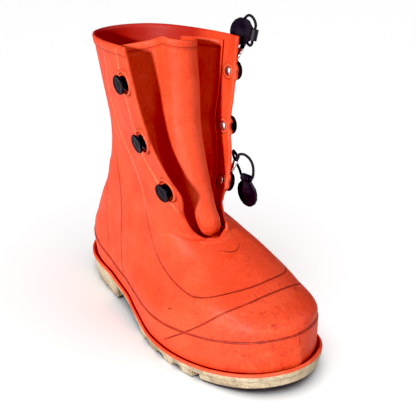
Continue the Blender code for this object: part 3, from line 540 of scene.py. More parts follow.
detail += upper["rippleDepth"] * np.sin(x / 5.0 + y / 7.0) * np.sin(z / 6.0 + 0.7 - y / 9.0)
detail *= smoothStep(guardField / 12.0 + 1.0)
detail += upper["guardStep"] * smoothStep((0.5 - guardField) / 1.3) * smoothStep((climb - 1.0) / 3.0)
detail += upper["cuffStep"] * smoothStep((upper["cuffHeight"] - cuffField) / 0.9 + 0.5)
beadFade = smoothStep((levels - 7.9) / 0.14)[:, None]
detail += upper["beadRise"] * beadFade * smoothStep((upper["beadWidth"] - edgeField) / 1.0 + 0.5)
lipFade = 1.0 - smoothStep((levels - 7.2) / 0.8)[:, None]
detail += upper["lipStep"] * lipFade * smoothStep((upper["lipWidth"] - edgeField) / 1.0 + 0.5)
rimRound = upper["edgeRound"] * quarterRound(np.minimum(edgeField, cuffField) / upper["edgeReach"])
outer = skin + outward * (detail - rimRound)[..., None]


def spoolFrame(name):
    # centre of the foot and outward axis of a turned node
    points = nodePoints(name) / mm
    middle = points.mean(axis=0)
    axis = np.linalg.svd(points - middle)[2][2]
    if axis @ (middle - np.array((0.0, 35.0, middle[2]))) < 0.0:
        axis = -axis
    reach = (points - middle) @ axis
    centre = middle + np.mean([p - middle - axis * ((p - middle) @ axis) for p in points], axis=0)
    return centre, axis, reach.min(), reach.max()


def seatUnder(surface, centre, axis, low, kind, reach, rise):
    # level a surface round a turned piece; rise gives its height by radius
    away = surface - centre
    lift = away @ axis - low  # height above the piece's foot
    radius = np.linalg.norm(away - (away @ axis)[..., None] * axis, axis=2)
    near = (radius < reach + 1.0) & (np.abs(lift) < upper[kind + "Limit"])
    move = (rise(radius) - lift) * smoothStep((reach - radius) / upper[kind + "Blend"])
    surface[near] += move[near][:, None] * axis


def bossHeight(radius):
    ring = np.exp(-((radius - upper["bossRing"]) / upper["bossWidth"]) ** 2)
    return upper["bossRise"] * ring - upper["bossSink"]


spools = {name: spoolFrame("button_" + name) for name in buttonNames}
for centre, axis, low, _ in spools.values():
    seatUnder(outer, centre, axis, low, "boss", upper["bossRadius"], bossHeight)

innerSkin = inner + outward * (rimRound * upper["innerRound"])[..., None]
attachGap = np.abs(edgeField - upper["attachBack"]) / upper["attachWidth"]
attachFade = smoothStep((levels - 7.5) / 1.0)[:, None] * (np.arange(wide) > wide // 2)
innerSkin -= outward * (upper["attachRise"] * np.exp(-attachGap ** 2) * attachFade)[..., None]
rivetCentres = []
for name in buttonNames:
    centre, axis, _, _ = spools[name]
    points = nodePoints("rivet_" + name) / mm
    low = ((points - centre) @ axis).min() + upper["rivetFace"]  # the head's face toward the wall
    rivetCentres.append(centre + axis * low)
    seatUnder(innerSkin, centre, axis, low, "rivet", upper["rivetBoss"], lambda radius: upper["rivetProud"])

coarse = innerSkin[::2, ::2]
coarseHigh, coarseWide = coarse.shape[:2]
coarseAt = np.arange(coarseHigh * coarseWide).reshape(coarseHigh, coarseWide) + fineAt.size
points = np.vstack([outer.reshape(-1, 3), coarse.reshape(-1, 3)]) * mm
sameAs = np.arange(len(points))  # below the throat the two edges are one
sameAs[fineAt[:throatRow + 1, -1]] = fineAt[:throatRow + 1, 0]
sameAs[coarseAt[:throatRow // 2 + 1, -1]] = coarseAt[:throatRow // 2 + 1, 0]


def rimFaces(fine, rough):
    made = []
    for k in range(len(rough) - 1):
        a, b, c = fine[2 * k:2 * k + 3]
        made += [(a, b, rough[k]), (b, rough[k + 1], rough[k]), (b, c, rough[k + 1])]
    return made


faces = quads + gridFaces(coarseAt, flip=True)
faces += rimFaces(fineAt[0], coarseAt[0])
faces += rimFaces(fineAt[-1], coarseAt[-1])
faces += rimFaces(fineAt[throatRow:, 0], coarseAt[throatRow // 2:, 0])
faces += rimFaces(fineAt[throatRow:, -1], coarseAt[throatRow // 2:, -1])
faces = [tuple(int(sameAs[i]) for i in face) for face in faces]
faces = [face for face in faces if len(set(face)) == len(face)]
used = np.unique([i for face in faces for i in face])
renumber = np.zeros(len(points), int)
renumber[used] = np.arange(len(used))
faces = [tuple(int(renumber[i]) for i in face) for face in faces]
shell = closedPiece("bootUpper", points[used], faces)


def giveFields(name, elsewhere, *columns):
    # elsewhere is what the inner wall gets
    packed = np.full((len(points), 3), elsewhere)
    for k, column in enumerate(columns):
        packed[:fineAt.size, k] = column.reshape(-1)
    giveVector(shell, name, packed[used])


everywhere = np.ones((high, wide))
giveFields("seamA", far, fields["vampPanel"][0], strips[0], fields["toeCap"][0])
giveFields("fadeA", 0.0, fadeEnds(fields["vampPanel"][1], 0.01, 0.01), fadeEnds(strips[1], 0.02, 0.08),
           fadeEnds(fields["toeCap"][1], 0.08, 0.05))
giveFields("seamB", far, quarters[0], counters[0], fields["toeSeam"][0])
giveFields("fadeB", 0.0, fadeEnds(quarters[1], 0.15, 0.02), fadeEnds(counters[1], 0.2, 0.05),
           fadeEnds(fields["toeSeam"][1], 0.1, 0.02))
giveFields("seamC", far, guardField, cuffField - upper["cuffHeight"], shortLines[0])
giveFields("fadeC", 0.0, everywhere, everywhere, fadeEnds(shortLines[1], 0.4, 0.4))
giveFields("seamD", far, edgeField - upper["lipWidth"], climb, edgeField)
giveFields("fadeD", 0.0, lipFade * everywhere, beadFade * everywhere, everywhere)
print("upper built:", len(faces), "faces")

# rubber of the upper, gusset and bead; its darkest red is painted shade for the seam hollows, the steps, the
# bead's flange, the gusset's hem and the boss rims, and its dark fleck colour also paints shade inside the
# shaft
rubber = dict(
    bright=(0.53, 0.054, 0.016, 1), deep=(0.48, 0.038, 0.010, 1), pale=(0.70, 0.16, 0.07, 1),
    paintedShade=(0.17, 0.012, 0.003, 1), dirt=(0.07, 0.026, 0.018, 1), lining=(0.26, 0.012, 0.004, 1),
    scuff=(0.26, 0.014, 0.006, 1), rough=0.6, gloss=0.26, grain=0.0001,
)
# each line on the skin: its stored field, its place in the field and its half-width
seamWidths = dict(
    panel=("A", 0, 0.7), ridge=("A", 0, 1.0), strip=("A", 1, 1.0), cap=("A", 2, 0.7), quarter=("B", 0, 1.0),
    counter=("B", 1, 0.9), seam=("B", 2, 0.32), guard=("C", 0, 0.85), cuff=("C", 1, 0.5), smile=("C", 2, 0.5),
    lip=("D", 0, 0.45),
)


def rubberBase(name):
    mat = newFinish(name, {"Roughness": rubber["rough"], "Specular IOR Level": rubber["gloss"]})
    colour = mix(ramp(noise(26.0, 4.0, 0.6), 0.32, 0.68), rubber["deep"], rubber["bright"])
    fine = noise(420.0, 3.0, 0.65)
    colour = mix(ramp(fine, 0.58, 0.74, 0.0, 0.2), colour, rubber["pale"])
    colour = mix(ramp(fine, 0.44, 0.30, 0.0, 0.45), colour, rubber["lining"])
    speck = ramp(noise(780.0, 1.0), 0.70, 0.76, 0.0, 0.45)
    colour = mix(times(speck, ramp(noise(30.0), 0.45, 0.62)), colour, rubber["dirt"])
    wire(ramp(noise(60.0, 3.0), 0.3, 0.7, rubber["rough"] - 0.06, rubber["rough"] + 0.10), "Roughness")
    return mat, colour, fine


def onLine(distance, outerHalf, innerHalf):
    return ramp(calc("ABSOLUTE", distance), outerHalf, innerHalf)


def nearest(centres):
    # distance in metres to the closest of some spots given in millimetres
    gap = None
    for centre in centres:
        given = {0: work["place"], 1: tuple(float(v) * mm for v in centre)}
        one = put("ShaderNodeVectorMath", given, operation="DISTANCE").outputs["Value"]
        gap = calc("MINIMUM", gap, one) if gap else one
    return gap


def circle(distance, radius, width, where):
    return times(onLine(calc("SUBTRACT", distance, radius), width, width * 0.2), where)


def upperRubber():
    mat, colour, fine = rubberBase("upperRubber")
    stored = {k: (threeOf("seam" + k), threeOf("fade" + k)) for k in "ABCD"}
    line = {}
    for name, (group, slot, half) in seamWidths.items():
        distance, fade = (field[slot] for field in stored[group])
        line[name] = times(onLine(distance, half * 1.5, half * 0.35), fade)
    guardGap, climbUp, outside = stored["C"][0][0], stored["D"][0][1], stored["D"][1][2]
    inside = calc("SUBTRACT", 1.0, outside)
    _, y, z = threeOf(work["place"])
    low = ramp(z, 0.150, 0.112)  # below the shaft the panel line gets painted shade in its hollow, on the shaft a painted highlight as a ridge
    panel = times(line["panel"], low)
    # painted shade along the seam lines, creases, the mudguard and cuff steps and the hollow just above the
    # bead
    foot = ramp(climbUp, 1.2, 0.2)
    dark = most(panel, line["cap"], line["guard"], times(line["quarter"], 0.9), times(line["counter"], 0.8),
                times(line["seam"], 0.35), line["smile"], times(line["cuff"], 0.6), foot)
    dark = times(dark, ramp(noise(150.0, 3.0, 0.7), 0.25, 0.55, 0.55, 1.0))
    # light lines: painted highlight on the raised ridge, strips, toe seam and lip, which the bump raises as
    # well
    light = most(times(line["ridge"], calc("SUBTRACT", 1.0, low)), line["strip"], times(line["seam"], 0.6),
                 times(line["lip"], 0.2))
    # rubbed toe: smears and scratches over the cap and the band below it
    toe = ramp(y, -0.095, -0.125)
    smear = ramp(noise(55.0, 5.0, 0.75, (1.0, 1.0, 1.6)), 0.42, 0.62, 0.0, 0.7)
    streak = ramp(noise(330.0, 4.0, 0.75, (1.0, 0.22, 1.0)), 0.50, 0.60)
    scuff = times(times(smear, streak), toe)
    colour = mix(scuff, colour, rubber["scuff"])
    rub = ramp(noise(80.0, 4.0, 0.7, (1.0, 0.3, 1.0)), 0.56, 0.70, 0.0, 0.18)
    colour = mix(times(rub, toe), colour, rubber["pale"])
    # patchy darkening along the mudguard line and just above the bead, stronger at the toe
    guardAndBeadDarkening = most(onLine(guardGap, 3.0, 0.4), ramp(climbUp, 7.0, 0.5))
    guardAndBeadDarkening = times(guardAndBeadDarkening, ramp(noise(240.0, 4.0, 0.8), 0.50, 0.66))
    colour = mix(times(guardAndBeadDarkening, calc("ADD", times(toe, 0.35), 0.35)), colour, rubber["dirt"])
    # painted highlight along the ridges and strips
    colour = mix(times(light, 0.75), colour, rubber["pale"])
    # painted shade along the seams, creases and steps
    colour = mix(times(dark, 0.93), colour, rubber["paintedShade"])
    # painted shade inside the shaft, growing toward the back wall
    colour = mix(times(inside, ramp(y, 0.012, 0.045, 0.12, 1.0)), colour, rubber["lining"])
    # raised rings round the button feet outside and the rivets inside: raised in the bump, with a painted
    # highlight on each ring and painted shade at its outer rim
    button = nearest([centre + axis * foot for centre, axis, foot, _ in spools.values()])
    rivet = nearest(rivetCentres)
    ring = most(circle(button, 0.0104, 0.0017, outside), circle(rivet, 0.0060, 0.0016, inside))
    rim = most(circle(button, 0.0126, 0.0009, outside), circle(rivet, 0.0079, 0.0008, inside))
    colour = mix(times(ring, 0.25), colour, rubber["pale"])
    colour = mix(times(rim, 0.35), colour, rubber["paintedShade"])
    wire(colour, "Base Color")
    names = ("cap", "guard", "quarter", "counter", "smile", "cuff")
    hollow = most(panel, *[line[name] for name in names], foot)
    height = calc("SUBTRACT", times(light, 0.8), hollow)
    bump([(ring, 0.0012), (height, 0.0007), (noise(95.0), 0.0004), (fine, rubber["grain"]), (scuff, -0.00006)])
    return mat


keepPiece(shell, upperRubber(), "boot_orange", "upper")
print("upper finished")

# gusset: the bellows that closes the throat
gusset = dict(
    thick=1.8, columns=120, rowsEach=12, clearance=1.0, sink=1.2, hug=8.0, underLevel=4.5, underHalf=14,
    levels=(5.0, 5.5, 6.0, 6.5, 7.0, 8.0, 9.0, 10.0, 11.0, 11.5, 12.0, 12.5, 12.88),
    throatAttach=13.0, flapAttach={-1: 23.5, 1: 18.0}, rollRise=8.5, rollLean=0.2,
    rollTurns=(182.0, 212.0, 241.0, 270.0, 299.0, 328.0, 358.0), valleyOut=4.5,
    leftShallow=0.5, leftDip=6.0, rightDip=4.0, bandHeight=6.5, bandStep=0.35, secondLine=1.6,
    waveDepth=0.35, edgeRound=0.75, edgeReach=0.9,
)
# height, x, y, radius, valley depth of the roll
rollSections = [
    (106, 0, -35.5, 10.8, 4), (120, -2.5, -40, 12, 6.5), (137, -5.5, -34.5, 13, 11), (165, -5, -21, 15.5, 14),
    (203, -2.5, -6.5, 17, 18), (240, 0, -3, 16.5, 21), (280, 1, 1, 17, 23)
]
rollAt = monotone([row[0] for row in rollSections], [row[1:] for row in rollSections])


def behindEdge(side, distance, v):
    columns = distance / runsAt(v)[0 if side < 0 else 1] * upper["half"]
    return columns if side < 0 else 2 * upper["half"] - columns


def innerAt(column, v):
    row = innerRow(v)
    column = min(max(column, 0.0), 2.0 * upper["half"])
    i = min(int(column), 2 * upper["half"] - 1)
    return row[i] + (row[i + 1] - row[i]) * (column - i)


def outwardAt(column, v):
    alongRow = innerAt(column + 4.0, v) - innerAt(column - 4.0, v)
    upRow = innerAt(column, v + 0.15) - innerAt(column, v - 0.15)
    normal = np.cross(upRow, alongRow)
    normal /= np.linalg.norm(normal)
    point = innerAt(column, v)
    return normal if normal[0] * point[0] + normal[1] * (point[1] - 30.0) > 0.0 else -normal


def attachPoint(side, distance, v, sunk=0.0):
    column = behindEdge(side, distance, v)
    return innerAt(column, v) - outwardAt(column, v) * (gusset["thick"] + gusset["clearance"] + sunk)


def bellowsRow(v):
    hug = gusset["hug"] * smoothStep((v - 6.0) / 2.0)
    back = smoothStep((v - 6.5) / 1.5)
    throat = gusset["throatAttach"]
    edge = {side: throat + (flap - throat) * back for side, flap in gusset["flapAttach"].items()}
    left = [attachPoint(-1, edge[-1], v), attachPoint(-1, edge[-1] + hug, v, gusset["sink"])]
    right = [attachPoint(1, edge[1] + hug, v, gusset["sink"]), attachPoint(1, edge[1], v)]
    risen = smoothStep((v - 9.0) / 3.7)
    lean = gusset["rollLean"] * risen
    midZ = 0.5 * (left[0][2] + right[1][2]) + gusset["rollRise"] * risen
    rollX, rollY, radius, depth = rollAt(midZ)
    valley = radius + gusset["valleyOut"]
    leftY = rollY + depth * (1.0 - gusset["leftShallow"] * risen)
    middle = [(rollX - valley, leftY, gusset["leftDip"] * risen)]
    middle += [(rollX + radius * math.cos(a), rollY + radius * math.sin(a), 0.0)
               for a in np.radians(gusset["rollTurns"])]
    middle += [(rollX + valley, rollY + depth, gusset["rightDip"] * risen)]
    route = [left[0]] + ([left[1]] if hug > 1.0 else [])
    route += [(px, py, midZ - lean * px - dip) for px, py, dip in middle]
    route += ([right[0]] if hug > 1.0 else []) + [right[1]]
    return spread(smoothRoute(route, 24), gusset["columns"])[0]


def underRow(v):
    route = []
    for k in range(-gusset["underHalf"], gusset["underHalf"] + 1):
        side = -1 if k < 0 else 1
        column = behindEdge(side, abs(k), v)
        route.append(innerAt(column, v) - outwardAt(column, v) * (gusset["thick"] + gusset["clearance"]))
    return spread(route, gusset["columns"])[0]


allLevels = [gusset["underLevel"]] + list(gusset["levels"])
bellows = monotone(allLevels, [underRow(allLevels[0])] + [bellowsRow(v) for v in allLevels[1:]])
gussetLevels = []
for low, top in zip(allLevels, allLevels[1:]):
    gussetLevels += list(np.linspace(low, top, gusset["rowsEach"], endpoint=False))
gussetLevels = np.array(gussetLevels + [allLevels[-1]])
sheet = np.array([bellows(v) for v in gussetLevels])
sheetHigh, sheetWide = sheet.shape[:2]
outwardSheet = np.cross(np.gradient(sheet, axis=1), np.gradient(sheet, axis=0))
outwardSheet /= np.linalg.norm(outwardSheet, axis=2)[:, :, None]
drop = np.cumsum(np.linalg.norm(np.diff(sheet, axis=0), axis=2)[::-1], axis=0)[::-1]
drop = np.vstack([drop, np.zeros((1, sheetWide))])  # distance below the top edge
sideGap = np.minimum(np.arange(sheetWide), sheetWide - 1 - np.arange(sheetWide)) * 1.3
gx, gz = sheet[..., 0], sheet[..., 2]
ripple = gusset["waveDepth"] * np.sin(gz / 13.0 + gx / 9.0) * np.sin(gz / 31.0 + 0.8)
ripple *= smoothStep(sideGap / 14.0)[None]
ripple += gusset["bandStep"] * smoothStep((gusset["bandHeight"] - drop) / 0.8 + 0.5)
rimSoft = gusset["edgeRound"] * quarterRound(drop / gusset["edgeReach"])
rear = sheet - outwardSheet * (gusset["thick"] - rimSoft)[..., None]
front = sheet + outwardSheet * (ripple - rimSoft)[..., None]
at = np.arange(sheetHigh * sheetWide).reshape(sheetHigh, sheetWide)
gussetFaces = gridFaces(at) + gridFaces(at + at.size, flip=True)
for line in (at[0], at[-1], at[:, 0], at[:, -1]):
    gussetFaces += gridFaces(np.stack([line, line + at.size]))
fold = closedPiece("throatGusset", np.vstack([front.reshape(-1, 3), rear.reshape(-1, 3)]) * mm, gussetFaces)
bandField = np.vstack([(drop - gusset["bandHeight"]).reshape(-1, 1), np.full((at.size, 1), far)])
giveVector(fold, "hem", np.hstack([bandField, bandField - gusset["secondLine"], bandField]))


def gussetRubber():
    mat, colour, fine = rubberBase("gussetRubber")
    hem = threeOf("hem")
    # painted shade along the line under the hem band and a fainter second line, also pressed into the bump
    line = most(onLine(hem[0], 0.7, 0.2), times(onLine(hem[1], 0.55, 0.15), 0.5))
    wire(mix(times(line, 0.45), colour, rubber["paintedShade"]), "Base Color")
    bump([(line, -0.0005), (noise(70.0), 0.0006), (fine, rubber["grain"])])
    return mat


keepPiece(fold, gussetRubber(), "boot_orange", "gusset")
print("gusset built")

# welt bead: a rounded rope with a low flange behind it
bead = dict(stations=190, paintedShadeFrom=3.2, smoothAngle=0.9)
beadSection = [
    (0.05, -3.0), (0.05, -1.35), (0.3, -0.7), (0.75, -0.2), (1.3, 0.0), (1.85, -0.15), (2.3, -0.6),
    (2.55, -1.2), (2.8, -1.75), (4.45, -1.9), (4.45, -3.0)
]


def outlineLoop(inset, count):
    turn = [0.5 - 0.5 * math.cos(math.pi * k / count) for k in range(count + 1)]
    return [outlinePoint(-1, t, inset) for t in turn] + [outlinePoint(1, t, inset) for t in turn[-2:0:-1]]


beadPoints = []
for inset, rise in beadSection:
    edge = outlineLoop(inset, bead["stations"])
    beadPoints += [(px * mm, py * mm, (weltTop(py) + rise) * mm) for px, py in edge]
beadAt = np.arange(len(beadPoints)).reshape(len(beadSection), -1)
sectionInset = np.repeat([inset for inset, _ in beadSection], beadAt.shape[1])[:, None] * (1.0, 0.0, 0.0)
beadAt = np.hstack([beadAt, beadAt[:, :1]])
welt = closedPiece("weltBead", beadPoints, gridFaces(np.vstack([beadAt, beadAt[:1]])))
giveVector(welt, "section", sectionInset)
pickOnly(welt)
bpy.ops.object.shade_smooth_by_angle(angle=bead["smoothAngle"])


def beadRubber():
    mat, colour, fine = rubberBase("beadRubber")
    colour = mix(ramp(noise(90.0, 3.0, 0.6), 0.35, 0.65, 0.0, 0.2), colour, rubber["pale"])
    colour = mix(ramp(noise(180.0, 4.0, 0.75), 0.58, 0.72, 0.0, 0.45), colour, rubber["dirt"])
    # painted shade on the flange between the rope and the upper
    start = bead["paintedShadeFrom"]
    colour = mix(ramp(threeOf("section")[0], start - 0.5, start + 0.2), colour, rubber["paintedShade"])
    wire(colour, "Base Color")
    bump([(noise(160.0, 3.0), 0.0004), (fine, rubber["grain"])])
    return mat


keepPiece(welt, beadRubber(), "boot_orange", "welt")
print("bead built")

# outsole and insole: softened copies of the frame's own solids
sole = dict(voxel=1.0, smoothing=2, rough=0.72, cream=(0.43, 0.35, 0.235, 1), tan=(0.33, 0.25, 0.15, 1),
            grime=(0.13, 0.088, 0.05, 1), speck=(0.07, 0.048, 0.028, 1), paintedUnderShade=(0.05, 0.033, 0.02, 1))
sock = dict(voxel=1.5, smoothing=2, rough=0.95, sheen=0.3, pale=(0.19, 0.18, 0.17, 1),
            dark=(0.085, 0.08, 0.075, 1), stain=(0.06, 0.05, 0.045, 1))


def softCopy(node, name, piece):
    pickOnly(nodes[node])
    bpy.ops.object.duplicate()
    obj = bpy.context.object
    obj.name = name
    for key in list(obj.keys()):
        del obj[key]
    obj.data.materials.clear()
    obj.parent = None
    bpy.ops.object.mode_set(mode="EDIT")
    bpy.ops.mesh.select_all(action="SELECT")
    bpy.ops.mesh.remove_doubles(threshold=1e-5)
    bpy.ops.object.mode_set(mode="OBJECT")
    obj.data.remesh_voxel_size = piece["voxel"] * mm
    bpy.ops.object.voxel_remesh()
    soften = obj.modifiers.new("soften", "SMOOTH")
    soften.iterations = piece["smoothing"]
    bpy.ops.object.modifier_apply(modifier=soften.name)
    bpy.ops.object.shade_smooth()
    return obj


def soleRubber():
    mat = newFinish("soleRubber", {"Roughness": sole["rough"]})
    colour = mix(ramp(noise(45.0, 4.0, 0.6), 0.35, 0.65), sole["tan"], sole["cream"])
    blotch = noise(70.0, 5.0, 0.72, (1.0, 1.0, 1.8))
    low = ramp(threeOf(work["place"])[2], 0.022, 0.0)
    level = calc("ADD", blotch, times(low, 0.16))
    colour = mix(ramp(level, 0.50, 0.74, 0.0, 0.65), colour, sole["grime"])
    colour = mix(ramp(noise(420.0, 3.0, 0.7), 0.58, 0.72, 0.0, 0.4), colour, sole["speck"])
    # painted shade on faces that look down
    down = ramp(threeOf(put("ShaderNodeNewGeometry").outputs["Normal"])[2], -0.25, -0.85)
    wire(mix(times(down, 0.85), colour, sole["paintedUnderShade"]), "Base Color")
    bump([(blotch, 0.0012), (ramp(noise(300.0, 4.0, 0.75), 0.42, 0.62), 0.00035)])
    return mat


def sockFelt():
    mat = newFinish("sockFelt", {"Roughness": sock["rough"], "Sheen Weight": sock["sheen"]})
    fuzz = noise(900.0, 4.0, 0.7)
    colour = mix(ramp(fuzz, 0.3, 0.7), sock["dark"], sock["pale"])
    wire(mix(ramp(noise(40.0, 3.0), 0.45, 0.7, 0.0, 0.4), colour, sock["stain"]), "Base Color")
    bump([(fuzz, 0.0004)])
    return mat


keepPiece(softCopy("outsole", "luggedSole", sole), soleRubber(), "sole_cream", "outsole")
keepPiece(softCopy("insole", "sockInsole", sock), sockFelt(), "insole_grey", "insole")
print("sole and insole built")


# buttons, rivets and ferrules: turned pieces, extruded ring by ring
def turnedPiece(name, profile, sides, place):
    # profile is (radius, height) in millimetres, from the foot up
    bpy.ops.object.select_all(action="DESELECT")
    bpy.ops.mesh.primitive_circle_add(vertices=sides, radius=profile[0][0] * mm, fill_type="NGON")
    obj = bpy.context.object
    obj.name = name
    bpy.ops.object.mode_set(mode="EDIT")
    bpy.ops.mesh.select_all(action="SELECT")
    radius, height = profile[0]
    for nextRadius, nextHeight in profile[1:]:
        bpy.ops.mesh.extrude_region_move(
            TRANSFORM_OT_translate={"value": (0.0, 0.0, (nextHeight - height) * mm)})
        if nextRadius != radius:
            size = nextRadius / radius
            bpy.ops.transform.resize(value=(size, size, 1.0))
        radius, height = nextRadius, nextHeight
    bpy.ops.mesh.select_all(action="SELECT")
    bpy.ops.mesh.normals_make_consistent(inside=False)
    bpy.ops.object.mode_set(mode="OBJECT")
    obj.data.transform(Matrix.Translation((0.0, 0.0, profile[0][1] * mm)))
    pickOnly(obj)
    bpy.ops.object.shade_smooth_by_angle(angle=0.7)
    obj.matrix_world = place
    return obj


def standOn(centre, axis):
    zAxis = Vector(axis).normalized()
    xAxis = Vector((0.0, 0.0, 1.0)).cross(zAxis).normalized()
    turn = Matrix((xAxis, zAxis.cross(xAxis), zAxis)).transposed().to_4x4()
    return Matrix.Translation(Vector(centre) * mm) @ turn


button = dict(sides=48, rough=0.5, gloss=0.12, black=(0.003, 0.003, 0.0032, 1), worn=(0.009, 0.008, 0.008, 1),
              scratch=(0.05, 0.045, 0.042, 1))
buttonProfile = [
    (6.3, 0.0), (6.75, 0.45), (6.75, 1.5), (6.2, 1.95), (4.1, 2.05), (3.5, 2.6), (3.5, 4.7), (4.2, 5.1),
    (8.0, 5.2), (8.65, 5.5), (8.8, 6.1), (8.6, 6.75), (7.9, 7.18), (7.4, 7.15), (7.1, 6.95), (2.2, 6.85),
    (2.0, 6.95), (0.9, 6.95)
]
rivet = dict(sides=32, shankRadius=1.7, bright=(0.75, 0.74, 0.72, 1), dull=(0.48, 0.46, 0.44, 1))
rivetProfile = [(1.6, 0.0), (2.9, 0.15), (3.9, 0.6), (4.35, 1.2), (4.4, 1.5), (4.2, 1.6), (1.7, 1.6)]


def buttonRubber():
    mat = newFinish("buttonRubber", {"Roughness": button["rough"], "Specular IOR Level": button["gloss"]})
    fine = noise(700.0, 3.0, 0.6)
    cloud = noise(120.0, 3.0, 0.6)
    colour = mix(ramp(cloud, 0.35, 0.7), button["black"], button["worn"])
    scratch = ramp(noise(500.0, 2.0, 0.6, (1.0, 0.3, 1.0)), 0.64, 0.70, 0.0, 0.4)
    wire(mix(scratch, colour, button["scratch"]), "Base Color")
    wire(ramp(cloud, 0.3, 0.7, 0.40, 0.55), "Roughness")
    bump([(cloud, 0.00015), (fine, 0.00008)])
    return mat


def rivetSteel():
    mat = newFinish("rivetSteel", {"Metallic": 1.0})
    worn = noise(600.0, 3.0, 0.7)
    wire(mix(ramp(worn, 0.35, 0.7), rivet["bright"], rivet["dull"]), "Base Color")
    wire(ramp(worn, 0.3, 0.7, 0.22, 0.42), "Roughness")
    bump([(worn, 0.00006)])
    return mat


blackRubber = buttonRubber()
steel = rivetSteel()
for name in buttonNames:
    centre, axis, low, _ = spools[name]
    foot = standOn(centre + axis * low, axis)
    knob = turnedPiece("spoolButton_" + name, buttonProfile, button["sides"], foot)
    keepPiece(knob, blackRubber, "button_black", "button_" + name)
    reach = (nodePoints("rivet_" + name) / mm - centre) @ axis
    profile = rivetProfile + [(rivet["shankRadius"], reach.max() - reach.min())]
    foot = standOn(centre + axis * reach.min(), axis)
    dome = turnedPiece("rivetDome_" + name, profile, rivet["sides"], foot)
    keepPiece(dome, steel, "rivet_steel", "rivet_" + name)
print("buttons and rivets built")

# elastic loops, ferrules and pull tabs
loops = dict(
    diameter=2.5, strandOffset=1.45, stub=4.0, gap=0.3, sides=14, neckHeight=3.6, neckPitch=0.0008,
    pullPitch=0.0012, rough=0.85, gloss=0.2, black=(0.003, 0.003, 0.003, 1), worn=(0.020, 0.019, 0.020, 1),
    strands=8.0, strandTurn=2.2,
)
neckRoute = [(8.5, 2.0), (5.3, 3.9), (1.9, 5.05), (-2.8, 4.6), (-5.35, 0.0)]
ferrule = dict(sides=40, reach=11.5, bend=6.0, length=9.5, flat=0.6)
ferruleProfile = [
    (2.9, 0.0), (3.35, 0.35), (3.45, 1.2), (3.45, 2.4), (3.05, 3.0), (3.05, 3.7), (3.45, 4.3), (3.45, 5.4),
    (3.05, 6.0), (3.05, 6.7), (3.45, 7.3), (3.45, 8.4), (3.35, 9.15), (2.9, 9.5)
]
# the way each ferrule lies, and its lean in degrees
ferruleRun = {"top": ((0.0, 0.0, 1.0), 28.0), "mid": ((0.0, 0.95, 0.3), 6.0), "low": ((0.0, 0.0, 1.0), 8.0)}
pullRoutes = {  # metres, listed between the straight runs at the ferrule
    "top": [
        (.0623, -.0105, .2730), (.0634, -.0085, .2795), (.0642, -.0095, .2860), (.0648, -.0135, .2912),
        (.0644, -.0195, .2946), (.0635, -.0265, .2934), (.0628, -.0306, .2888), (.0615, -.0310, .2845),
        (.0600, -.0310, .2800), (.0589, -.0310, .2760), (.0587, -.0298, .2718), (.0598, -.0262, .2694),
        (.0610, -.0223, .2692), (.0617, -.0183, .2702)],
    "mid": [
        (.0470, .0160, .2040), (.0477, .0220, .2045), (.0483, .0290, .2025), (.0487, .0353, .1970),
        (.0489, .0378, .1895), (.0489, .0365, .1830), (.0487, .0350, .1795), (.0484, .0316, .1780),
        (.0480, .0280, .1780), (.0476, .0244, .1780), (.0473, .0210, .1795), (.0472, .0195, .1830),
        (.0474, .0200, .1895), (.0475, .0195, .1955), (.0472, .0163, .1996)],
    "low": [
        (.0436, -.0288, .1703), (.0460, -.0340, .1710), (.0484, -.0390, .1670), (.0498, -.0412, .1600),
        (.0502, -.0406, .1520), (.0500, -.0390, .1477), (.0496, -.0356, .1462), (.0492, -.0320, .1462),
        (.0488, -.0284, .1462), (.0484, -.0250, .1477), (.0482, -.0228, .1520), (.0480, -.0184, .1575),
        (.0474, -.0152, .1630), (.0462, -.0162, .1685), (.0443, -.0200, .1706)],
}


def braidTube(name, route):
    # round cord on a route in metres, with its own map: round it, then along it in diameters
    route = np.array(route)
    sides = loops["sides"]
    tangent = np.gradient(route, axis=0)
    tangent /= np.linalg.norm(tangent, axis=1)[:, None]
    side = np.cross(tangent[0], (0.3, 0.2, 0.9))
    run = np.r_[0.0, np.cumsum(np.linalg.norm(np.diff(route, axis=0), axis=1))]
    points = []
    for p, t in zip(route, tangent):
        side = side - t * (side @ t)
        side /= np.linalg.norm(side)
        other = np.cross(t, side)
        for k in range(sides):
            a = 2.0 * math.pi * k / sides
            points.append(p + (side * math.cos(a) + other * math.sin(a)) * loops["diameter"] / 2.0 * mm)
    at = np.arange(len(points)).reshape(-1, sides)
    tubeFaces = gridFaces(np.hstack([at, at[:, :1]])) + [tuple(at[0, ::-1].tolist()), tuple(at[-1].tolist())]
    turns = [k / sides for k in range(sides + 1)]
    marks = run / (loops["diameter"] * mm)
    maps = [(u, v) for v0, v1 in zip(marks, marks[1:]) for u0, u1 in zip(turns, turns[1:])
            for u, v in ((u0, v0), (u1, v0), (u1, v1), (u0, v1))]
    maps += [(0.0, 0.0)] * 2 * sides
    obj = newObject(name, points, tubeFaces)
    layer = obj.data.uv_layers.new(name="braid")
    layer.data.foreach_set("uv", np.ravel(maps).astype(np.float32))
    return obj, float(run[-1])


def braidFabric():
    mat = newFinish("elasticBraid", {"Roughness": loops["rough"], "Specular IOR Level": loops["gloss"]})
    across, run, _ = threeOf(put("ShaderNodeUVMap", uv_map="braid").outputs[0])
    strands = []
    for turn in (loops["strandTurn"], -loops["strandTurn"]):
        lean = calc("ADD", times(across, loops["strands"]), times(run, turn))
        strands.append(calc("SINE", times(lean, 2.0 * math.pi)))
    weave = most(*strands)
    wire(mix(ramp(weave, -0.2, 1.0), loops["black"], loops["worn"]), "Base Color")
    bump([(weave, 0.00022)])
    return mat


def evenRoute(points, step):
    dense = smoothRoute(points, 12)
    length = sum(float(np.linalg.norm(b - a)) for a, b in zip(dense, dense[1:]))
    return spread(dense, round(length / step))[0]


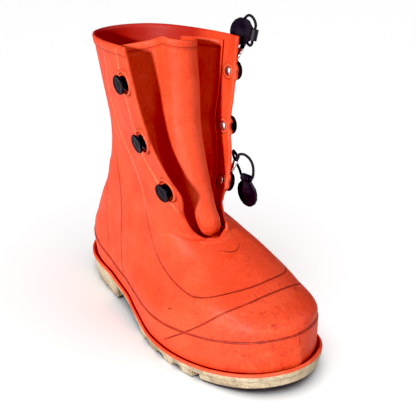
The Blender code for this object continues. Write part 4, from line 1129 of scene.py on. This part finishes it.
pullTab = dict(voxel=0.36, smoothing=4, rough=0.5, gloss=0.2, black=(0.005, 0.0045, 0.005, 1),
               worn=(0.012, 0.011, 0.012, 1), speck=(0.035, 0.032, 0.035, 1))


def pullTabRubber():
    mat = newFinish("pullTabRubber", {"Roughness": pullTab["rough"], "Specular IOR Level": pullTab["gloss"]})
    fine = noise(620.0, 4.0, 0.65)
    cloud = noise(90.0, 3.0)
    colour = mix(ramp(cloud, 0.35, 0.7), pullTab["black"], pullTab["worn"])
    wire(mix(ramp(fine, 0.60, 0.72, 0.0, 0.35), colour, pullTab["speck"]), "Base Color")
    bump([(cloud, 0.0003), (fine, 0.00012)])
    return mat


braid = braidFabric()
pullTabBlack = pullTabRubber()


def buildLoop(level):
    centre, axis, low, _ = spools["medial_" + level]
    axis = Vector(axis)
    centre = Vector(centre) + axis * (low + loops["neckHeight"])
    run, lean = ferruleRun[level]
    ahead = Vector(run)
    ahead = (ahead - axis * ahead.dot(axis)).normalized()
    aside = axis.cross(ahead)
    tilt = math.radians(lean)
    course = ahead * math.cos(tilt) + axis * math.sin(tilt)
    start = centre + ahead * ferrule["reach"] + axis * (ferrule["bend"] * math.tan(tilt / 2.0))
    end = start + course * ferrule["length"]
    place = Matrix((course.cross(aside), aside, course)).transposed().to_4x4()
    place.translation = start * mm
    place = place @ Matrix.Diagonal((ferrule["flat"], 1.0, 1.0, 1.0))
    crimp = turnedPiece("crimp_" + level, ferruleProfile, ferrule["sides"], place)
    keepPiece(crimp, steel, "rivet_steel", "ferrule_" + level)
    # small loop round the button's neck
    strand = aside * loops["strandOffset"]
    entry = start - course * 2.0 * loops["gap"]
    route = [entry + strand] + [centre + ahead * u + aside * w for u, w in neckRoute]
    route += [centre + ahead * u - aside * w for u, w in neckRoute[-2::-1]] + [entry - strand]
    path = evenRoute([tuple(p * mm) for p in route], loops["neckPitch"])
    small, length = braidTube("neckLoop_" + level, path)
    keepPiece(small, braid, "cord_black", "neck_loop_" + level)
    tab = softCopy("pull_tab_" + level, "pullTab_" + level, pullTab)
    keepPiece(tab, pullTabBlack, "button_black", "pull_tab_" + level)
    # long loop through the tab's hem
    leave = end + course * loops["gap"]
    ahead = leave + course * loops["stub"]
    if (Vector(pullRoutes[level][0]) / mm - end).dot(aside) < 0.0:
        strand = -strand
    route = [tuple((p + strand) * mm) for p in (leave, ahead)] + pullRoutes[level]
    route += [tuple((p - strand) * mm) for p in (ahead, leave)]
    path = evenRoute(route, loops["pullPitch"])
    long, length = braidTube("pullCord_" + level, path)
    keepPiece(long, braid, "cord_black", "pull_cord_" + level)
    print("loop", level, "is", round(length * 1000), "mm long")


for level in levelNames:
    buildLoop(level)
print("loops built")

# floor and light
studio = dict(floorSize=8.0, floorColour=(0.86, 0.86, 0.86, 1), floorRough=0.6, skyGlow=0.16, skySeen=0.9,
              black=(0.018, 0.021, 0.014))
# name, compass turn, height angle, width of the source, strength, lights the floor
lights = [("keyLight", -72.0, 21.0, 6.0, 6.4, False),
          ("frontLight", -20.0, 48.0, 25.0, 1.1, False),
          ("fillLight", 48.0, 38.0, 40.0, 1.6, False),
          ("floorLight", -30.0, 75.0, 60.0, 3.5, True)]

bpy.ops.object.select_all(action="DESELECT")
bpy.ops.mesh.primitive_plane_add(size=studio["floorSize"], location=(0.0, 0.0, -0.0002))
floor = bpy.context.object
floor.name = "studioFloor"
floorFinish = newFinish("paleFloor", {"Roughness": studio["floorRough"], "Base Color": studio["floorColour"]})
floor.data.materials.append(floorFinish)

world = bpy.data.worlds.new("studioWorld")
bpy.context.scene.world = world
world.use_nodes = True
work["tree"] = world.node_tree  # put() works in the world's nodes from here
sky = world.node_tree.nodes["Background"].inputs
sky["Color"].default_value = (1.0, 1.0, 1.0, 1)
seen = put("ShaderNodeLightPath").outputs["Is Camera Ray"]  # pale to the eye, dim as a light
given = {0: seen, 1: studio["skySeen"] - studio["skyGlow"], 2: studio["skyGlow"]}
glow = put("ShaderNodeMath", given, operation="MULTIPLY_ADD").outputs[0]
world.node_tree.links.new(glow, sky["Strength"])
floorSet = bpy.data.collections.new("floorOnly")
floorSet.objects.link(floor)
bootSet = bpy.data.collections.new("allButFloor")
bootSet.objects.link(floor)
bootSet.collection_objects[0].light_linking.link_state = "EXCLUDE"
for name, turn, rise, width, strength, forFloor in lights:
    bpy.ops.object.light_add(type="SUN")
    lamp = bpy.context.object
    lamp.name = name
    lamp.data.energy = strength
    lamp.data.angle = math.radians(width)
    lamp.rotation_euler = lookFrom(turn, rise).to_track_quat("Z", "Y").to_euler()
    lamp.light_linking.receiver_collection = floorSet if forFloor else bootSet
view = bpy.context.scene.view_settings
view.view_transform = "Standard"
view.use_curve_mapping = True  # deep darks in the folds
view.curve_mapping.black_level = studio["black"]
view.curve_mapping.update()
print("studio set")

bpy.context.view_layer.update()
